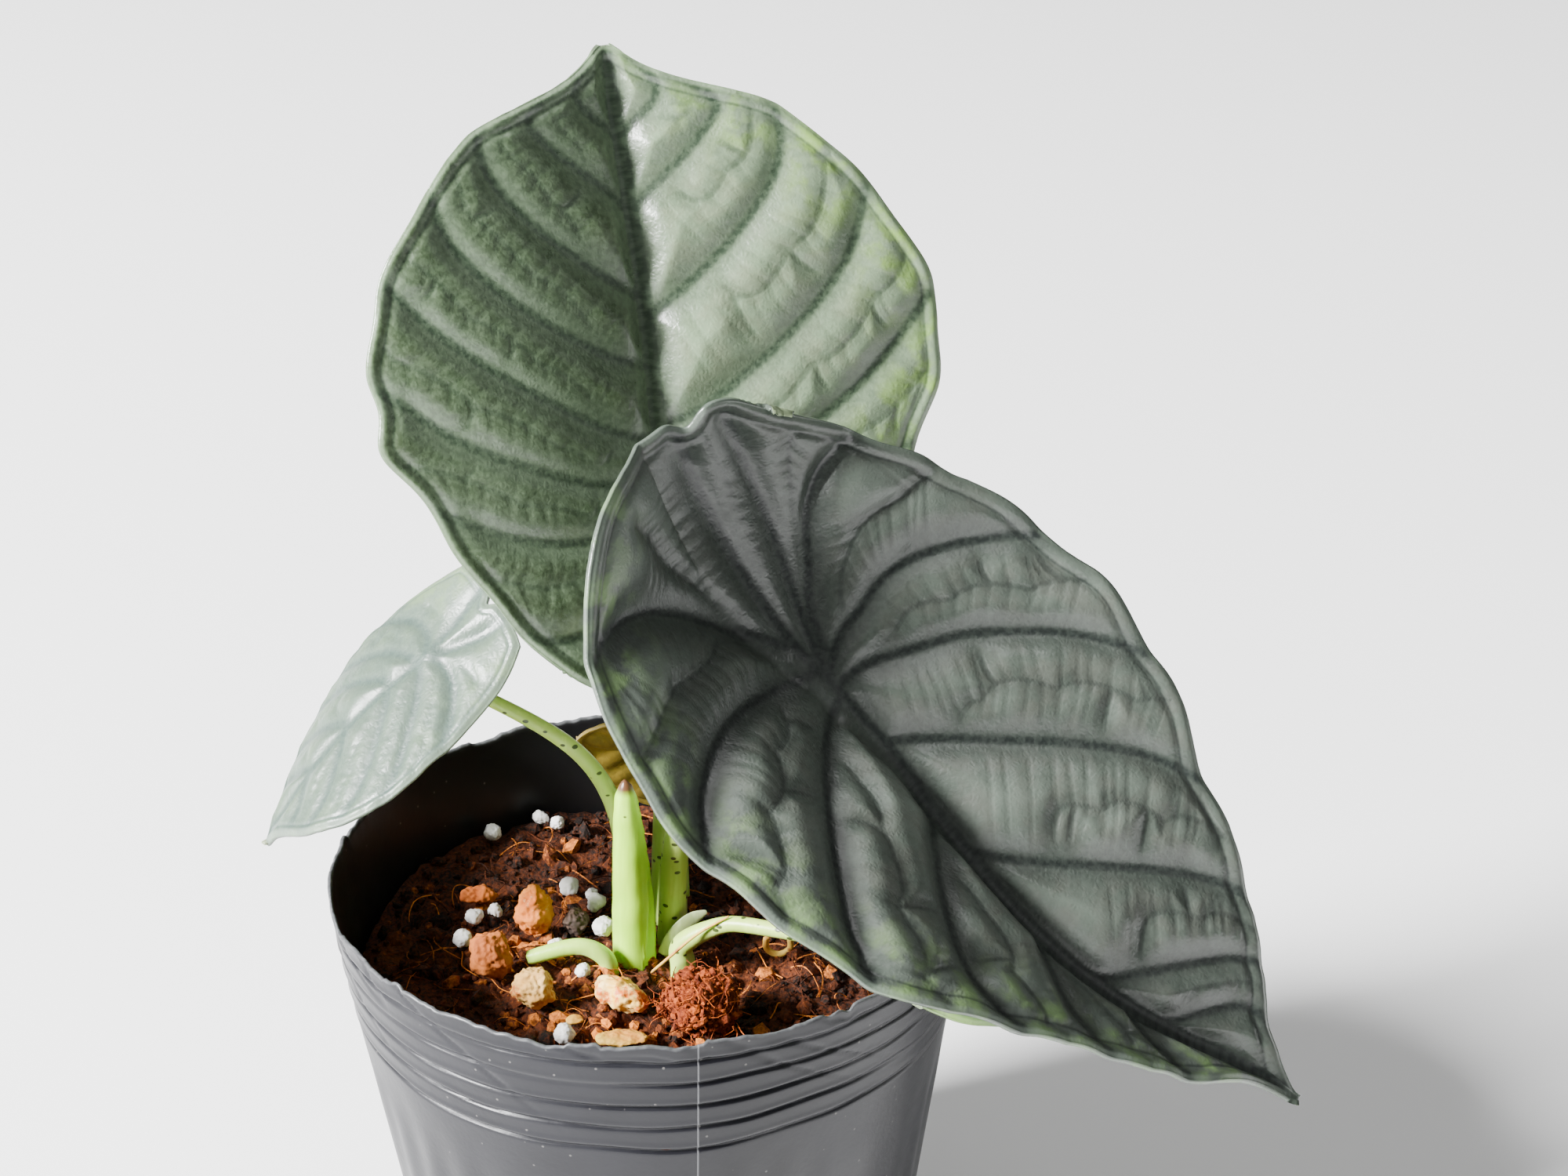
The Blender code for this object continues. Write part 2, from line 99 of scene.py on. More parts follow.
def soft_light(name, at, aim, size, watts):
    lamp = bpy.data.lights.new(name, "AREA")
    lamp.shape = "RECTANGLE"
    lamp.size, lamp.size_y = size
    lamp.energy = watts
    made = bpy.data.objects.new(name, lamp)
    made.location = at
    made.rotation_euler = (Vector(aim) - Vector(at)).to_track_quat("-Z", "Y").to_euler()
    bpy.context.scene.collection.objects.link(made)


soft_light("key_left", (-2.3, -1.02, 1.55), (0, 0, 0.12), (0.73, 0.91), 670)
soft_light("fill_right", (1.4, -0.4, 0.9), (0, 0, 0.12), (0.7, 0.9), 1.2)
soft_light("top_soft", (0.15, 0.2, 1.75), (0, 0, 0.15), (1.2, 0.7), 9)


def material(name):
    """A new material, its node tree and the shader in it."""
    made = bpy.data.materials.new(name)
    made.use_nodes = True
    return made, made.node_tree, made.node_tree.nodes["Principled BSDF"]


bpy.ops.mesh.primitive_plane_add(size=14)
floor = bpy.context.object
floor.name = "studio_floor"
floor_look, tree, shader = material("studio_floor")
feed(tree, shader, {"Base Color": (0.9, 0.9, 0.9, 1), "Roughness": 0.9})
floor.data.materials.append(floor_look)


# ------------------------------------------------------------------ the leaves
# Thick leathery shield leaves, puckered between sunken veins, with a rolled pale margin and a
# silvery grey-green skin. Each is grown from one flat outline, bent, folded and twisted, then
# raised into pillows by its distance from the veins.

# A leaf's outline runs from v = 0 at its lobes to 1 at its tip and from t = -1 to 1 across. Its stem
# joins at the hub, and base and tip are the powers that round its two ends. drip, notch, lobe, ear,
# dents, band, pucker and thick are millimetres; bend, fold, curl, twist and sweep are degrees. A vein
# is a curve of three (v, t) points, or (start on the rib, end on the margin, how late it turns up).
most_leaves = dict(
    corner=0.012, notch_at=0, ear=0, ear_at=0, rib_at=0, thumb=1, dents=(), twist=0, sweep=0, skew=0
)


def half_width(leaf, v):
    """Share of the half width at v, 0 at the lobes to 1 at the tip."""
    widest, blunt = leaf["widest"], leaf["blunt"]
    s = np.where(v < widest, (widest - v) / (widest + blunt), (v - widest) / (1 - widest)).clip(0, 1)
    low = (1 - s ** leaf["base"][0]) ** leaf["base"][1]
    high = (1 - s ** leaf["tip"][0]) ** leaf["tip"][1]
    return np.where(v < widest, low, high)


def flattened(leaf, v, t):
    """Millimetres across from the rib, the rib's own shift, and millimetres along from the hub."""
    v = v + leaf["corner"] * abs(t) ** 6 * (1 - v) ** 20
    half = leaf["wide"] / 2 * half_width(leaf, v)
    near_tip = ((v - 0.895) / 0.1).clip(0, 1)
    half = half * (1 - leaf["pinch"] * near_tip * near_tip * (3 - 2 * near_tip))
    wave = 1 + leaf["wavy"] * abs(t) ** 5 * np.sin(2 * math.pi * (leaf["waves"] * v + 0.3 * np.sign(t)))
    shift = leaf["skew"] * np.sin(math.pi * ((v - 0.45) / 0.55).clip(0, 1)) ** 1.3
    across = t * half * wave - shift * abs(t)
    for side, at, reach, deep in leaf["dents"]:
        across = across - side * deep * np.exp(-(((v - at) / reach) ** 2)) * (t * side).clip(0, 1) ** 2
    drip = leaf["drip"] * ((v - 0.87) / 0.13).clip(0, 1) ** 2.6
    along = (v - leaf["hub"]) * leaf["long"] + drip
    inlet = leaf["notch"] * np.exp(-(((t - leaf["notch_at"]) / 0.1) ** 2)) + leaf["lobe"] * t**4
    inlet = inlet - leaf["ear"] * np.exp(-(((t - leaf["ear_at"]) / 0.36) ** 2))
    along = along + (1 - v) ** 3 * inlet
    return across, shift, along


def leaf_axes(leaf):
    yaw, pitch, roll = (math.radians(a) for a in leaf["aim"])
    ahead = np.array([math.cos(yaw) * math.cos(pitch), math.sin(yaw) * math.cos(pitch), math.sin(pitch)])
    out = np.array([-math.cos(yaw) * math.sin(pitch), -math.sin(yaw) * math.sin(pitch), math.cos(pitch)])
    side = np.cross(ahead, out)
    return np.array([
        side * math.cos(roll) + out * math.sin(roll),
        ahead,
        out * math.cos(roll) - side * math.sin(roll),
    ])


def bent(leaf, v, t):
    """The smooth blade in space, millimetres from the hub."""
    long, hub = leaf["long"], leaf["hub"]
    x, shift, y = flattened(leaf, v, t)
    rate = np.radians(np.where(y > 0, leaf["bend"][0] / ((1 - hub) * long), leaf["bend"][1] / (hub * long)))
    rate = np.where(abs(rate) < 1e-9, 1e-9, rate)
    angle = rate * y
    fold = np.radians(np.where(x > 0, leaf["fold"][1], leaf["fold"][0]))
    bow = np.radians(np.where(x > 0, leaf["curl"][1], leaf["curl"][0])) / (leaf["wide"] / 2)
    bow = np.where(abs(bow) < 1e-9, 1e-9, bow)
    steep = fold + bow * abs(x)
    out = (np.sin(steep) - np.sin(fold)) / bow * np.sign(x)
    lift = (np.cos(fold) - np.cos(steep)) / bow
    turn = np.radians(leaf["twist"]) * y / long
    side = out * np.cos(turn) - lift * np.sin(turn) + math.radians(leaf["sweep"]) * y * abs(y) / long
    up = out * np.sin(turn) + lift * np.cos(turn)
    rib_y, rib_z = np.sin(angle) / rate, (1 - np.cos(angle)) / rate
    local = np.stack([side + shift, rib_y - np.sin(angle) * up, rib_z + np.cos(angle) * up], -1)
    return local @ leaf_axes(leaf)


def curve(points, count):
    """Points on the quadratic curve through (v, t) corner points."""
    s = np.linspace(0, 1, count)[:, None]
    a, b, c = (np.array(p, float) for p in points)
    return (1 - s) ** 2 * a + 2 * s * (1 - s) * b + s**2 * c


def rib_side(leaf, v):
    """How far to one side the rib lies at v, as a share of the half width."""
    return leaf["rib_at"] * ((0.5 - v) / 0.15).clip(0, 1)


def lateral(leaf, start, end, bow, side):
    """A side vein from the rib at start to the margin at end; bow over 1 turns it up late."""
    s = np.linspace(0, 1, 500)
    first = rib_side(leaf, np.float64(start))
    return np.stack([start + (end - start) * s**bow, first + (side * 0.975 - first) * s], -1)


def flat_points(leaf, rows):
    across, shift, along = flattened(leaf, rows[:, 0], rows[:, 1])
    return np.stack([across + shift, along], -1)


def veins_of(leaf, seed):
    """Three orders of veins as lists of (v, t) curves."""
    rng = random.Random(seed)
    rib = np.linspace(leaf["hub"], 0.99, 1200)
    first, second, third = [np.stack([rib, rib_side(leaf, rib)], -1)], [], []
    for side, given in zip((-1, 1), leaf["veins"]):
        mains = []
        for numbers in given:
            if isinstance(numbers[0], tuple):
                mains.append(curve(numbers, 500) * (1, side))
            else:
                mains.append(lateral(leaf, *numbers, side))
        first += mains
        basal = [isinstance(numbers[0], tuple) for numbers in given]
        for low, high, plain in zip(mains, mains[1:], basal[1:]):
            # a weaker vein leaves one main, turns and runs in scallops midway between the two,
            # tied to both by a ladder of fine bowed cross veins, a few of them deep
            span = [flat_points(leaf, rows) for rows in (low, high)]
            s = np.linspace(0, 1, 500)
            long = np.linalg.norm(np.diff((span[0] + span[1]) / 2, axis=0), axis=1).sum()
            wide = np.linalg.norm(span[0] - span[1], axis=1)[100:].max()
            way = side * leaf["thumb"]
            begins = rng.uniform(0.14, 0.24)
            share = 0.5 + 0.5 * way * np.exp(-(((s - begins).clip(0, 1) / 0.09) ** 1.3))
            bows = max(2, round(long / (15 * leaf["wide"] / 105)))
            scallops = abs(np.sin(math.pi * (bows * s + rng.random()))) - 0.6
            share = share - way * (0.03 if plain else 0.09) * scallops
            between = low * (1 - share[:, None]) + high * share[:, None]
            centre = flat_points(leaf, between)
            apart = wide > 0.1 * leaf["wide"]
            if apart:
                second.append(between[int(500 * begins) : 485])
            steps = max(5, round(long / (3.3 * leaf["wide"] / 105)))
            deep = 0
            for k in range(1, steps + 1):
                m = int(np.clip((k + rng.uniform(-0.25, 0.25)) / steps, 0.06, 0.96) * 499)
                for main, place in ((low, span[0]), (high, span[1])):
                    i = int(np.linalg.norm(place - centre[m], axis=1).argmin())
                    i = int(np.clip(i + rng.uniform(-14, 6), 4, 490))
                    bowed = (main[i] + between[m]) / 2 - (0, side * 0.05)
                    rung = curve((main[i], bowed, between[m]), 60)
                    third.append(rung)
                    deep += 1
                    if apart and not plain and k > 2 and deep > 7 and rng.random() < 0.25:
                        second.append(rung)
                        deep = 0
    return first, second, third


def nearest(curves, leaf, x, y):
    """Distance in millimetres from each flattened point to the nearest curve."""
    rows = np.concatenate(curves)
    across, shift, along = flattened(leaf, rows[:, 0], rows[:, 1])
    tree = kdtree.KDTree(len(rows))
    for i, (a, b) in enumerate(zip(across + shift, along)):
        tree.insert((a, b, 0), i)
    tree.balance()
    return np.array([tree.find((a, b, 0))[2] for a, b in zip(x, y)])


def points_of(mesh):
    """The points of the mesh as rows of x, y and z."""
    rows = np.empty(len(mesh.vertices) * 3)
    mesh.vertices.foreach_get("co", rows)
    return rows.reshape(-1, 3)


def painted(mesh, label, values):
    """One value at each point of the mesh, for its material to read."""
    layer = mesh.attributes.new(label, "FLOAT", "POINT")
    layer.data.foreach_set("value", np.broadcast_to(values, len(mesh.vertices)).astype(np.float32))


def grow_leaf(name, leaf, node, looks, seed, rows, columns):
    """A puckered blade: skin above, underside below, in the place of the CAD node."""
    leaf = {**most_leaves, **leaf}
    bpy.ops.object.select_all(action="DESELECT")
    bpy.ops.mesh.primitive_grid_add(x_subdivisions=columns, y_subdivisions=rows, size=2)
    blade = bpy.context.object
    blade.name = name
    mesh = blade.data
    co = points_of(mesh)
    t = np.sin(co[:, 0] * math.pi / 2) * 0.35 + co[:, 0] * 0.65
    v = (co[:, 1] + 1) / 2
    v = (0.6 * v + 0.4 * (0.5 - 0.5 * np.cos(math.pi * v))).clip(0, 0.9992)
    x, shift, y = flattened(leaf, v, t)
    flat_x = x + shift

    first, second, third = veins_of(leaf, seed)
    edge_v = 0.9992 * (0.5 - 0.5 * np.cos(np.linspace(0, math.pi, 2200)))
    margin = [np.stack([edge_v, np.full(2200, side)], -1) for side in (-1.0, 1.0)]
    margin.append(np.stack([np.zeros(500), np.linspace(-1, 1, 500)], -1))
    to_margin = nearest(margin, leaf, flat_x, y)
    to_first = nearest(first, leaf, flat_x, y)
    to_rib = nearest(first[: 1 + leaf["grooves"]], leaf, flat_x, y)
    to_second = nearest(second, leaf, flat_x, y)
    to_third = nearest(third, leaf, flat_x, y)
    band = leaf["band"]
    scale = leaf["wide"] / 105
    to_first, to_second = np.hypot(to_first, 0.8) - 0.8, np.hypot(to_second, 0.6) - 0.6
    to_third, to_rib = np.hypot(to_third, 0.4) - 0.4, np.hypot(to_rib, 0.8) - 0.8
    soft = np.array([noise.noise(Vector((a * 0.06, b * 0.06, seed))) for a, b in zip(flat_x, y)])
    fine = np.array([noise.noise(Vector((a * 0.4, b * 0.4, seed + 9))) for a, b in zip(flat_x, y)])
    wide_valley = scale * (3.6 - 1.3 * abs(t))
    valley = 1 - np.exp(-((to_first / wide_valley) ** 1.35))
    dome = 1 - np.exp(-((to_first / (10 * scale)) ** 1.7))
    minor = 1 - np.exp(-((to_second / (2.5 * scale)) ** 1.45))
    ladder = 1 - np.exp(-((to_third / (1.1 * scale)) ** 1.5))
    gutter = np.exp(-(((to_margin - band) / (0.9 * scale)) ** 2))
    near_edge = (to_margin / (3.2 * band)).clip(0, 1)
    near_edge = near_edge * near_edge * (3 - 2 * near_edge)
    tall = leaf["pucker"] * (0.4 + 0.6 * near_edge)
    relief = tall * (0.75 * valley + 0.75 * dome - 0.85 + 0.3 * soft * valley)
    cushions = 0.5 * (minor - 0.8) * (0.4 + 0.6 * near_edge) + 0.07 * (ladder - 1)
    relief += leaf["pucker"] * valley**2 * cushions
    relief += 0.05 * fine - 0.4 * scale * gutter
    relief -= 0.6 * scale * np.exp(-((to_rib / (2.4 * scale)) ** 2)) * near_edge
    relief -= 0.6 * np.exp(-((to_margin / 0.7) ** 2))  # the edge rolls under
    relief *= 1 - 0.85 * np.exp(-((np.hypot(flat_x, y) / (6 * scale)) ** 2))  # level over the stem

    place = bent(leaf, v, t)
    small = 2e-3
    lo_v, lo_t = v.clip(small, 0.994), t.clip(-0.997, 0.997)
    along = bent(leaf, lo_v + small, lo_t) - bent(leaf, lo_v - small, lo_t)
    across = bent(leaf, lo_v, lo_t + small) - bent(leaf, lo_v, lo_t - small)
    out = np.cross(across, along)
    out /= np.linalg.norm(out, axis=1, keepdims=True)
    place = place + out * relief[:, None]
    # the solid is this blade without its small quirks, and its middle is the middle of the box
    no_quirks = dict(dents=(), skew=0, wavy=0, pinch=0, corner=0, ear=0, notch_at=0)
    plain = bent({**leaf, **no_quirks, **leaf["plain"]}, v, t)
    low, high = (np.array(corner) * 1000 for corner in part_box(node))
    place += (low + high) / 2 - (plain.min(0) + plain.max(0)) / 2
    mesh.vertices.foreach_set("co", (place / 1000).ravel())

    for label, values in (
        ("vein", to_first), ("minor", to_second), ("ladder", to_third), ("edge", to_margin),
        ("up", v), ("over", t), ("swell", relief),
    ):
        painted(mesh, label, values)
    uv = mesh.uv_layers[0]
    uv.name = "skin"
    loops = np.empty(len(mesh.loops), np.int32)
    mesh.loops.foreach_get("vertex_index", loops)
    uv.data.foreach_set("uv", (np.stack([flat_x, y], -1)[loops] / 1000).astype(np.float32).ravel())
    for made in looks:
        mesh.materials.append(made)
    thick = blade.modifiers.new("thick", "SOLIDIFY")
    thick.thickness = leaf["thick"] / 1000
    thick.offset = -1
    thick.material_offset = 1
    thick.material_offset_rim = 0
    bpy.ops.object.modifier_apply(modifier="thick")
    bpy.ops.object.shade_smooth()
    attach(blade, "root")
    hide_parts(node)


def ramp(tree, source, stops):
    """Colour by the source, from (place, colour) stops."""
    node = wire(tree, "ShaderNodeValToRGB", {"Fac": source})
    bar = node.color_ramp
    while len(bar.elements) < len(stops):
        bar.elements.new(0.5)
    for element, (at, colour) in zip(bar.elements, stops):
        element.position = at
        element.color = (*colour, 1)
    return node.outputs["Color"]


def mixed(tree, factor, a, b):
    """Colour a where the factor is 0, turning to b where it is 1."""
    node = wire(tree, "ShaderNodeMix", data_type="RGBA")
    a, b = (c if isinstance(c, bpy.types.NodeSocket) else (*c, 1) for c in (a, b))
    feed(tree, node, {0: factor, 6: a, 7: b})
    return node.outputs[2]


def sums(tree, operation, a, b=0.0):
    return wire(tree, "ShaderNodeMath", {0: a, 1: b}, operation=operation).outputs[0]


def times(tree, a, b):
    return sums(tree, "MULTIPLY", a, b)


def fades(tree, source, near, far):
    """1 at or under near, falling to 0 at far."""
    return ranged(tree, source, near, far, 1.0, 0.0, "SMOOTHSTEP")


def rises(tree, source, near, far):
    """0 at or under near, rising to 1 at far."""
    return sums(tree, "SUBTRACT", 1.0, fades(tree, source, near, far))


def layered(tree, tone, mask, share, colour):
    """The tone with a layer of colour where the mask is 1, as strong as the share."""
    return mixed(tree, times(tree, mask, share), tone, colour)


def shaded(colour, *shares):
    """The colour with one share for all three channels, or one for each."""
    return [c * share for c, share in zip(colour, shares * 3)]


def mottle(tree, place, scale, detail):
    """Soft random mottling, its spots about 1 / scale metres apart."""
    spots = wire(tree, "ShaderNodeTexNoise", {"Vector": place, "Scale": scale, "Detail": detail})
    return spots.outputs["Fac"]


def roughened(tree, shader, height, strength, deep):
    """Fine relief too small to model, deep metres at most."""
    bump = wire(tree, "ShaderNodeBump", {"Height": height, "Strength": strength, "Distance": deep})
    feed(tree, shader, {"Normal": bump.outputs["Normal"]})


def leaf_look(
    name, body, deep, fresh, edge, rough, band, fresh_share=0.5, one_sided=False, shine=0.1, left_shade=0, lobes=0
):
    """Silvery skin: grey-green body, deep along the veins with painted shade in their valleys, lightened
    with painted highlight on the raised pillows, fresh green in patches to the margin.

    A one_sided leaf is fresh on its right half only, a left-half share paints shade over its left half,
    partly its own darker tone, and lobes darkens its base.
    """
    made, tree, shader = material(name)
    at = {
        label: wire(tree, "ShaderNodeAttribute", attribute_name=label).outputs["Fac"]
        for label in ("vein", "minor", "ladder", "edge", "up", "over", "swell")
    }
    skin = wire(tree, "ShaderNodeUVMap", uv_map="skin").outputs["UV"]
    large, mid, grain = mottle(tree, skin, 42, 3), mottle(tree, skin, 190, 4), mottle(tree, skin, 900, 4)
    cells = wire(
        tree, "ShaderNodeTexVoronoi", {"Vector": skin, "Scale": 1000.0, "Randomness": 0.95},
        feature="DISTANCE_TO_EDGE",
    ).outputs["Distance"]
    specks = wire(tree, "ShaderNodeTexVoronoi", {"Vector": skin, "Scale": 75.0}).outputs["Distance"]

    tone = ramp(tree, large, ((0.3, shaded(body, 0.8)), (0.7, shaded(body, 1.2))))
    tone = layered(tree, tone, fades(tree, mid, 0.6, 0.4), 0.5, shaded(body, 1.12, 0.94, 0.95))
    # painted shade: the left half is darkened, partly its own darker tone, mostly standing in for the shade
    # on the half turned from the key light
    if left_shade:
        tone = layered(tree, tone, fades(tree, at["over"], -0.2, 0.25), left_shade, shaded(body, 0.15, 0.19, 0.11))
    if lobes:
        tone = layered(tree, tone, fades(tree, at["up"], 0.2, 0.45), lobes, shaded(body, 0.3))
    green = times(tree, fades(tree, at["edge"], 2.0, 20.0), fades(tree, mid, 0.62, 0.42))
    if one_sided:
        green = times(tree, green, rises(tree, at["over"], 0.1, 0.65))
    tone = layered(tree, tone, green, fresh_share, fresh)
    # painted highlight: the raised pillows are lightened, standing in for the light their tops catch
    tone = layered(tree, tone, rises(tree, at["swell"], 0.0, 1.3), 0.5, shaded(body, 1.7))

    # painted shade: the wide dark band along the main veins is partly their own darker green, partly shade
    # painted into their sunken valleys
    valley = [c * 0.4 + d * 0.6 for c, d in zip(body, deep)]
    tone = layered(tree, tone, fades(tree, at["vein"], 0.2, 5.4), 0.82, valley)
    tone = layered(tree, tone, fades(tree, at["vein"], 0.0, 0.75), 0.8, deep)
    clear = rises(tree, at["vein"], 1.2, 4.5)  # the fine veins stop short of the main ones
    # the first of these layers is painted shade in the valleys of the weaker veins; the two fine dark lines
    # are those veins' own colour
    for label, reach, share, colour in (
        ("minor", 2.6, 0.35, valley), ("minor", 0.4, 0.4, deep), ("ladder", 0.3, 0.14, deep)
    ):
        tone = layered(tree, tone, times(tree, fades(tree, at[label], 0.0, reach), share), clear, colour)
    gutter = sums(tree, "ABSOLUTE", sums(tree, "SUBTRACT", at["edge"], band))
    tone = layered(tree, tone, fades(tree, gutter, 0.0, 0.45), 0.6, deep)
    tone = layered(tree, tone, fades(tree, at["edge"], 0.5, 1.3), 0.5, edge)
    tone = layered(tree, tone, fades(tree, specks, 0.012, 0.02), 0.6, (0.7, 0.7, 0.66))
    tone = layered(tree, tone, fades(tree, grain, 0.6, 0.4), 0.1, shaded(body, 1.9))

    gloss = ranged(tree, mid, 0.3, 0.7, rough - 0.08, rough + 0.08)
    feed(tree, shader, {"Base Color": tone, "Roughness": gloss, "Specular IOR Level": 0.5})
    feed(tree, shader, {"Coat Weight": shine, "Coat Roughness": 0.28})
    height = times(tree, fades(tree, cells, 0.0, 0.45), -0.25)
    height = sums(tree, "ADD", height, times(tree, grain, 0.35))
    height = sums(tree, "ADD", height, times(tree, mid, 0.9))
    for label, share in (("ladder", -0.4), ("minor", -0.5)):
        sunken = times(tree, times(tree, fades(tree, at[label], 0.0, 0.5), share), clear)
        height = sums(tree, "ADD", height, sunken)
    roughened(tree, shader, height, 0.38, 0.0003)
    return made


under_look = leaf_look(
    "leaf_underside", (0.17, 0.23, 0.15), (0.09, 0.06, 0.06), (0.2, 0.3, 0.12), (0.24, 0.3, 0.16), 0.5, 3.0
)

# --- the large back leaf, nearly upright, silver green on its right half, painted in shade on its left
grow_leaf(
    "back_leaf",
    dict(
        aim=(103.7, 73, -12), long=117.5, wide=111, hub=0.29, widest=0.54, blunt=0.14, base=(1.34, 0.6),
        tip=(1.85, 0.67), drip=2.8, pinch=0.6, notch=7.1, lobe=6.1, bend=(-10.6, 7), fold=(15.8, 21),
        curl=(-27.5, -19), twist=4.1, sweep=-2, wavy=0.008, waves=6.5, band=2.7, pucker=2.2, thick=0.9,
        grooves=0, plain=dict(drip=3, base=(1.22, 0.61), tip=(1.57, 0.71)),
        dents=((-1, 0.425, 0.05, -3.0), (-1, 0.9, 0.05, -1.5), (1, 0.92, 0.04, -1.3), (1, 0.73, 0.05, 1.0),
               (1, 0.42, 0.06, -1.2)),
        veins=(
            [((0.29, 0), (0.16, 0.05), (0.05, 0.1)), ((0.27, 0.02), (0.1, 0.25), (0.09, 0.95)),
             ((0.29, 0), (0.21, 0.5), (0.32, 0.97)), (0.33, 0.52, 2.2), (0.39, 0.68, 1.35),
             (0.51, 0.81, 1.3), (0.62, 0.905, 1.0), (0.76, 0.955, 0.75), (0.88, 0.978, 0.7)],
            [((0.29, 0), (0.16, 0.05), (0.05, 0.1)), ((0.27, 0.02), (0.1, 0.25), (0.09, 0.95)),
             ((0.29, 0), (0.21, 0.5), (0.34, 0.97)), (0.31, 0.58, 2.0), (0.41, 0.76, 1.3), (0.59, 0.9, 1.0),
             (0.76, 0.955, 0.75), (0.88, 0.978, 0.7)],
        ),
    ),
    "leaf_blade_back",
    [
        leaf_look(
            "leaf_silver_green", (0.13, 0.18, 0.11), (0.01, 0.02, 0.011), (0.15, 0.27, 0.04),
            (0.15, 0.22, 0.12), 0.34, 2.7, fresh_share=0.85, one_sided=True, shine=0.25, left_shade=0.93,
        ),
        under_look,
    ],
    seed=3, rows=252, columns=190,
)

# --- the large front leaf, hanging to the right, dark charcoal green with a silver sheen
grow_leaf(
    "front_leaf",
    dict(
        aim=(-15.3, -36, -17.2), long=171, wide=101, hub=0.33, widest=0.49, blunt=0.09, base=(2.27, 0.64),
        tip=(1.5, 0.98), drip=3.6, pinch=0.5, notch=3.4, lobe=6.7, bend=(-6.6, 49.4), fold=(28.6, 13.2),
        curl=(1.6, -17.1), twist=20.4, sweep=-2.3, skew=9.5, wavy=0.01, waves=7.0, band=3.1, pucker=2.8,
        thick=0.95, grooves=2, plain=dict(drip=5, tip=(1.47, 0.99), notch=4.9),
        dents=((1, 0.72, 0.09, 2.6), (1, 0.91, 0.04, -1.6), (-1, 0.41, 0.05, -0.9), (-1, 0.52, 0.05, -0.4),
               (-1, 0.71, 0.05, 1.6), (-1, 0.86, 0.05, -0.9)),
        notch_at=-0.38, ear=3.2, ear_at=-0.62, rib_at=-0.08, thumb=-1,
        veins=(
            [((0.33, 0.08), (0.2, 0.17), (0.0, 0.29)), ((0.34, 0.08), (0.25, 0.3), (0.03, 0.58)),
             ((0.32, 0.16), (0.18, 0.46), (0.13, 0.96)), ((0.34, 0.1), (0.28, 0.55), (0.42, 0.97)),
             (0.355, 0.59, 1.6), (0.43, 0.72, 1.0), (0.56, 0.84, 0.78), (0.745, 0.9, 0.65),
             (0.84, 0.94, 0.7)],
            [((0.33, -0.08), (0.2, -0.16), (0.0, -0.27)), ((0.29, -0.08), (0.12, 0.15), (0.1, 0.92)),
             ((0.33, -0.08), (0.23, 0.5), (0.33, 0.97)), (0.365, 0.53, 1.6), (0.52, 0.69, 1.4),
             (0.68, 0.79, 1.0), (0.8, 0.88, 1.0)],
        ),
    ),
    "leaf_blade_front",
    [
        leaf_look(
            "leaf_grey_green", (0.062, 0.076, 0.062), (0.004, 0.006, 0.006), (0.11, 0.18, 0.065),
            (0.1, 0.13, 0.1), 0.36, 3.1, fresh_share=0.95, one_sided=True, shine=0.15, lobes=0.6,
        ),
        under_look,
    ],
    seed=5, rows=266, columns=180,
)

# --- the small left leaf, tipped away to the light, pale silver
grow_leaf(
    "left_leaf",
    dict(
        aim=(196, -32, 13.2), long=61, wide=41.8, hub=0.26, widest=0.56, blunt=0.13, base=(1.92, 0.58),
        tip=(1.84, 0.78), drip=3, pinch=0.35, notch=1.5, lobe=0.5, bend=(-25.5, 13.2), fold=(-9.2, 4.7),
        curl=(-13.2, -24.6), twist=-28.5, sweep=-5.5, wavy=0.006, waves=5.0, band=1.7, pucker=0.8,
        thick=0.8, grooves=2, plain=dict(drip=2),
        veins=(
            [((0.26, 0), (0.14, 0.2), (0.01, 0.45)), ((0.26, 0), (0.18, 0.5), (0.36, 0.95)), (0.3, 0.6, 1.6),
             (0.42, 0.77, 1.3), (0.6, 0.89, 1.0), (0.78, 0.95, 0.8)],
            [((0.26, 0), (0.14, 0.12), (0.01, 0.3)), ((0.26, 0), (0.18, 0.5), (0.36, 0.95)), (0.3, 0.6, 1.6),
             (0.4, 0.75, 1.3), (0.58, 0.88, 1.0), (0.76, 0.95, 0.8)],
        ),
    ),
    "leaf_blade_left",
    [
        leaf_look(
            "leaf_pale_green", (0.09, 0.125, 0.09), (0.045, 0.07, 0.06), (0.12, 0.2, 0.07),
            (0.16, 0.2, 0.15), 0.42, 1.7,
        ),
        under_look,
    ],
    seed=7, rows=150, columns=110,
)

# --- the low leaf behind the front leaf, over the pot's rim
grow_leaf(
    "low_leaf",
    dict(
        aim=(25, 0, -35), long=52, wide=36, hub=0.3, widest=0.5, blunt=0.1, base=(2, 0.6), tip=(1.6, 0.9),
        drip=4, pinch=0.3, notch=3, lobe=3, bend=(-20, 12), fold=(4, 6), curl=(-26, -20), wavy=0.006,
        waves=5.0, band=1.6, pucker=0.75, thick=0.8, grooves=2, plain=dict(drip=3),
        veins=[[((0.3, 0), (0.16, 0.12), (0.01, 0.3)), ((0.3, 0), (0.2, 0.5), (0.33, 0.95)),
                (0.33, 0.56, 1.5), (0.45, 0.74, 1.2), (0.62, 0.88, 1.0)]] * 2,
    ),
    "leaf_blade_low",
    [
        leaf_look(
            "leaf_low_green", (0.11, 0.17, 0.09), (0.03, 0.05, 0.03), (0.12, 0.24, 0.04), (0.2, 0.3, 0.1),
            0.4, 1.6, fresh_share=0.8,
        ),
        under_look,
    ],
    seed=11, rows=120, columns=90,
)

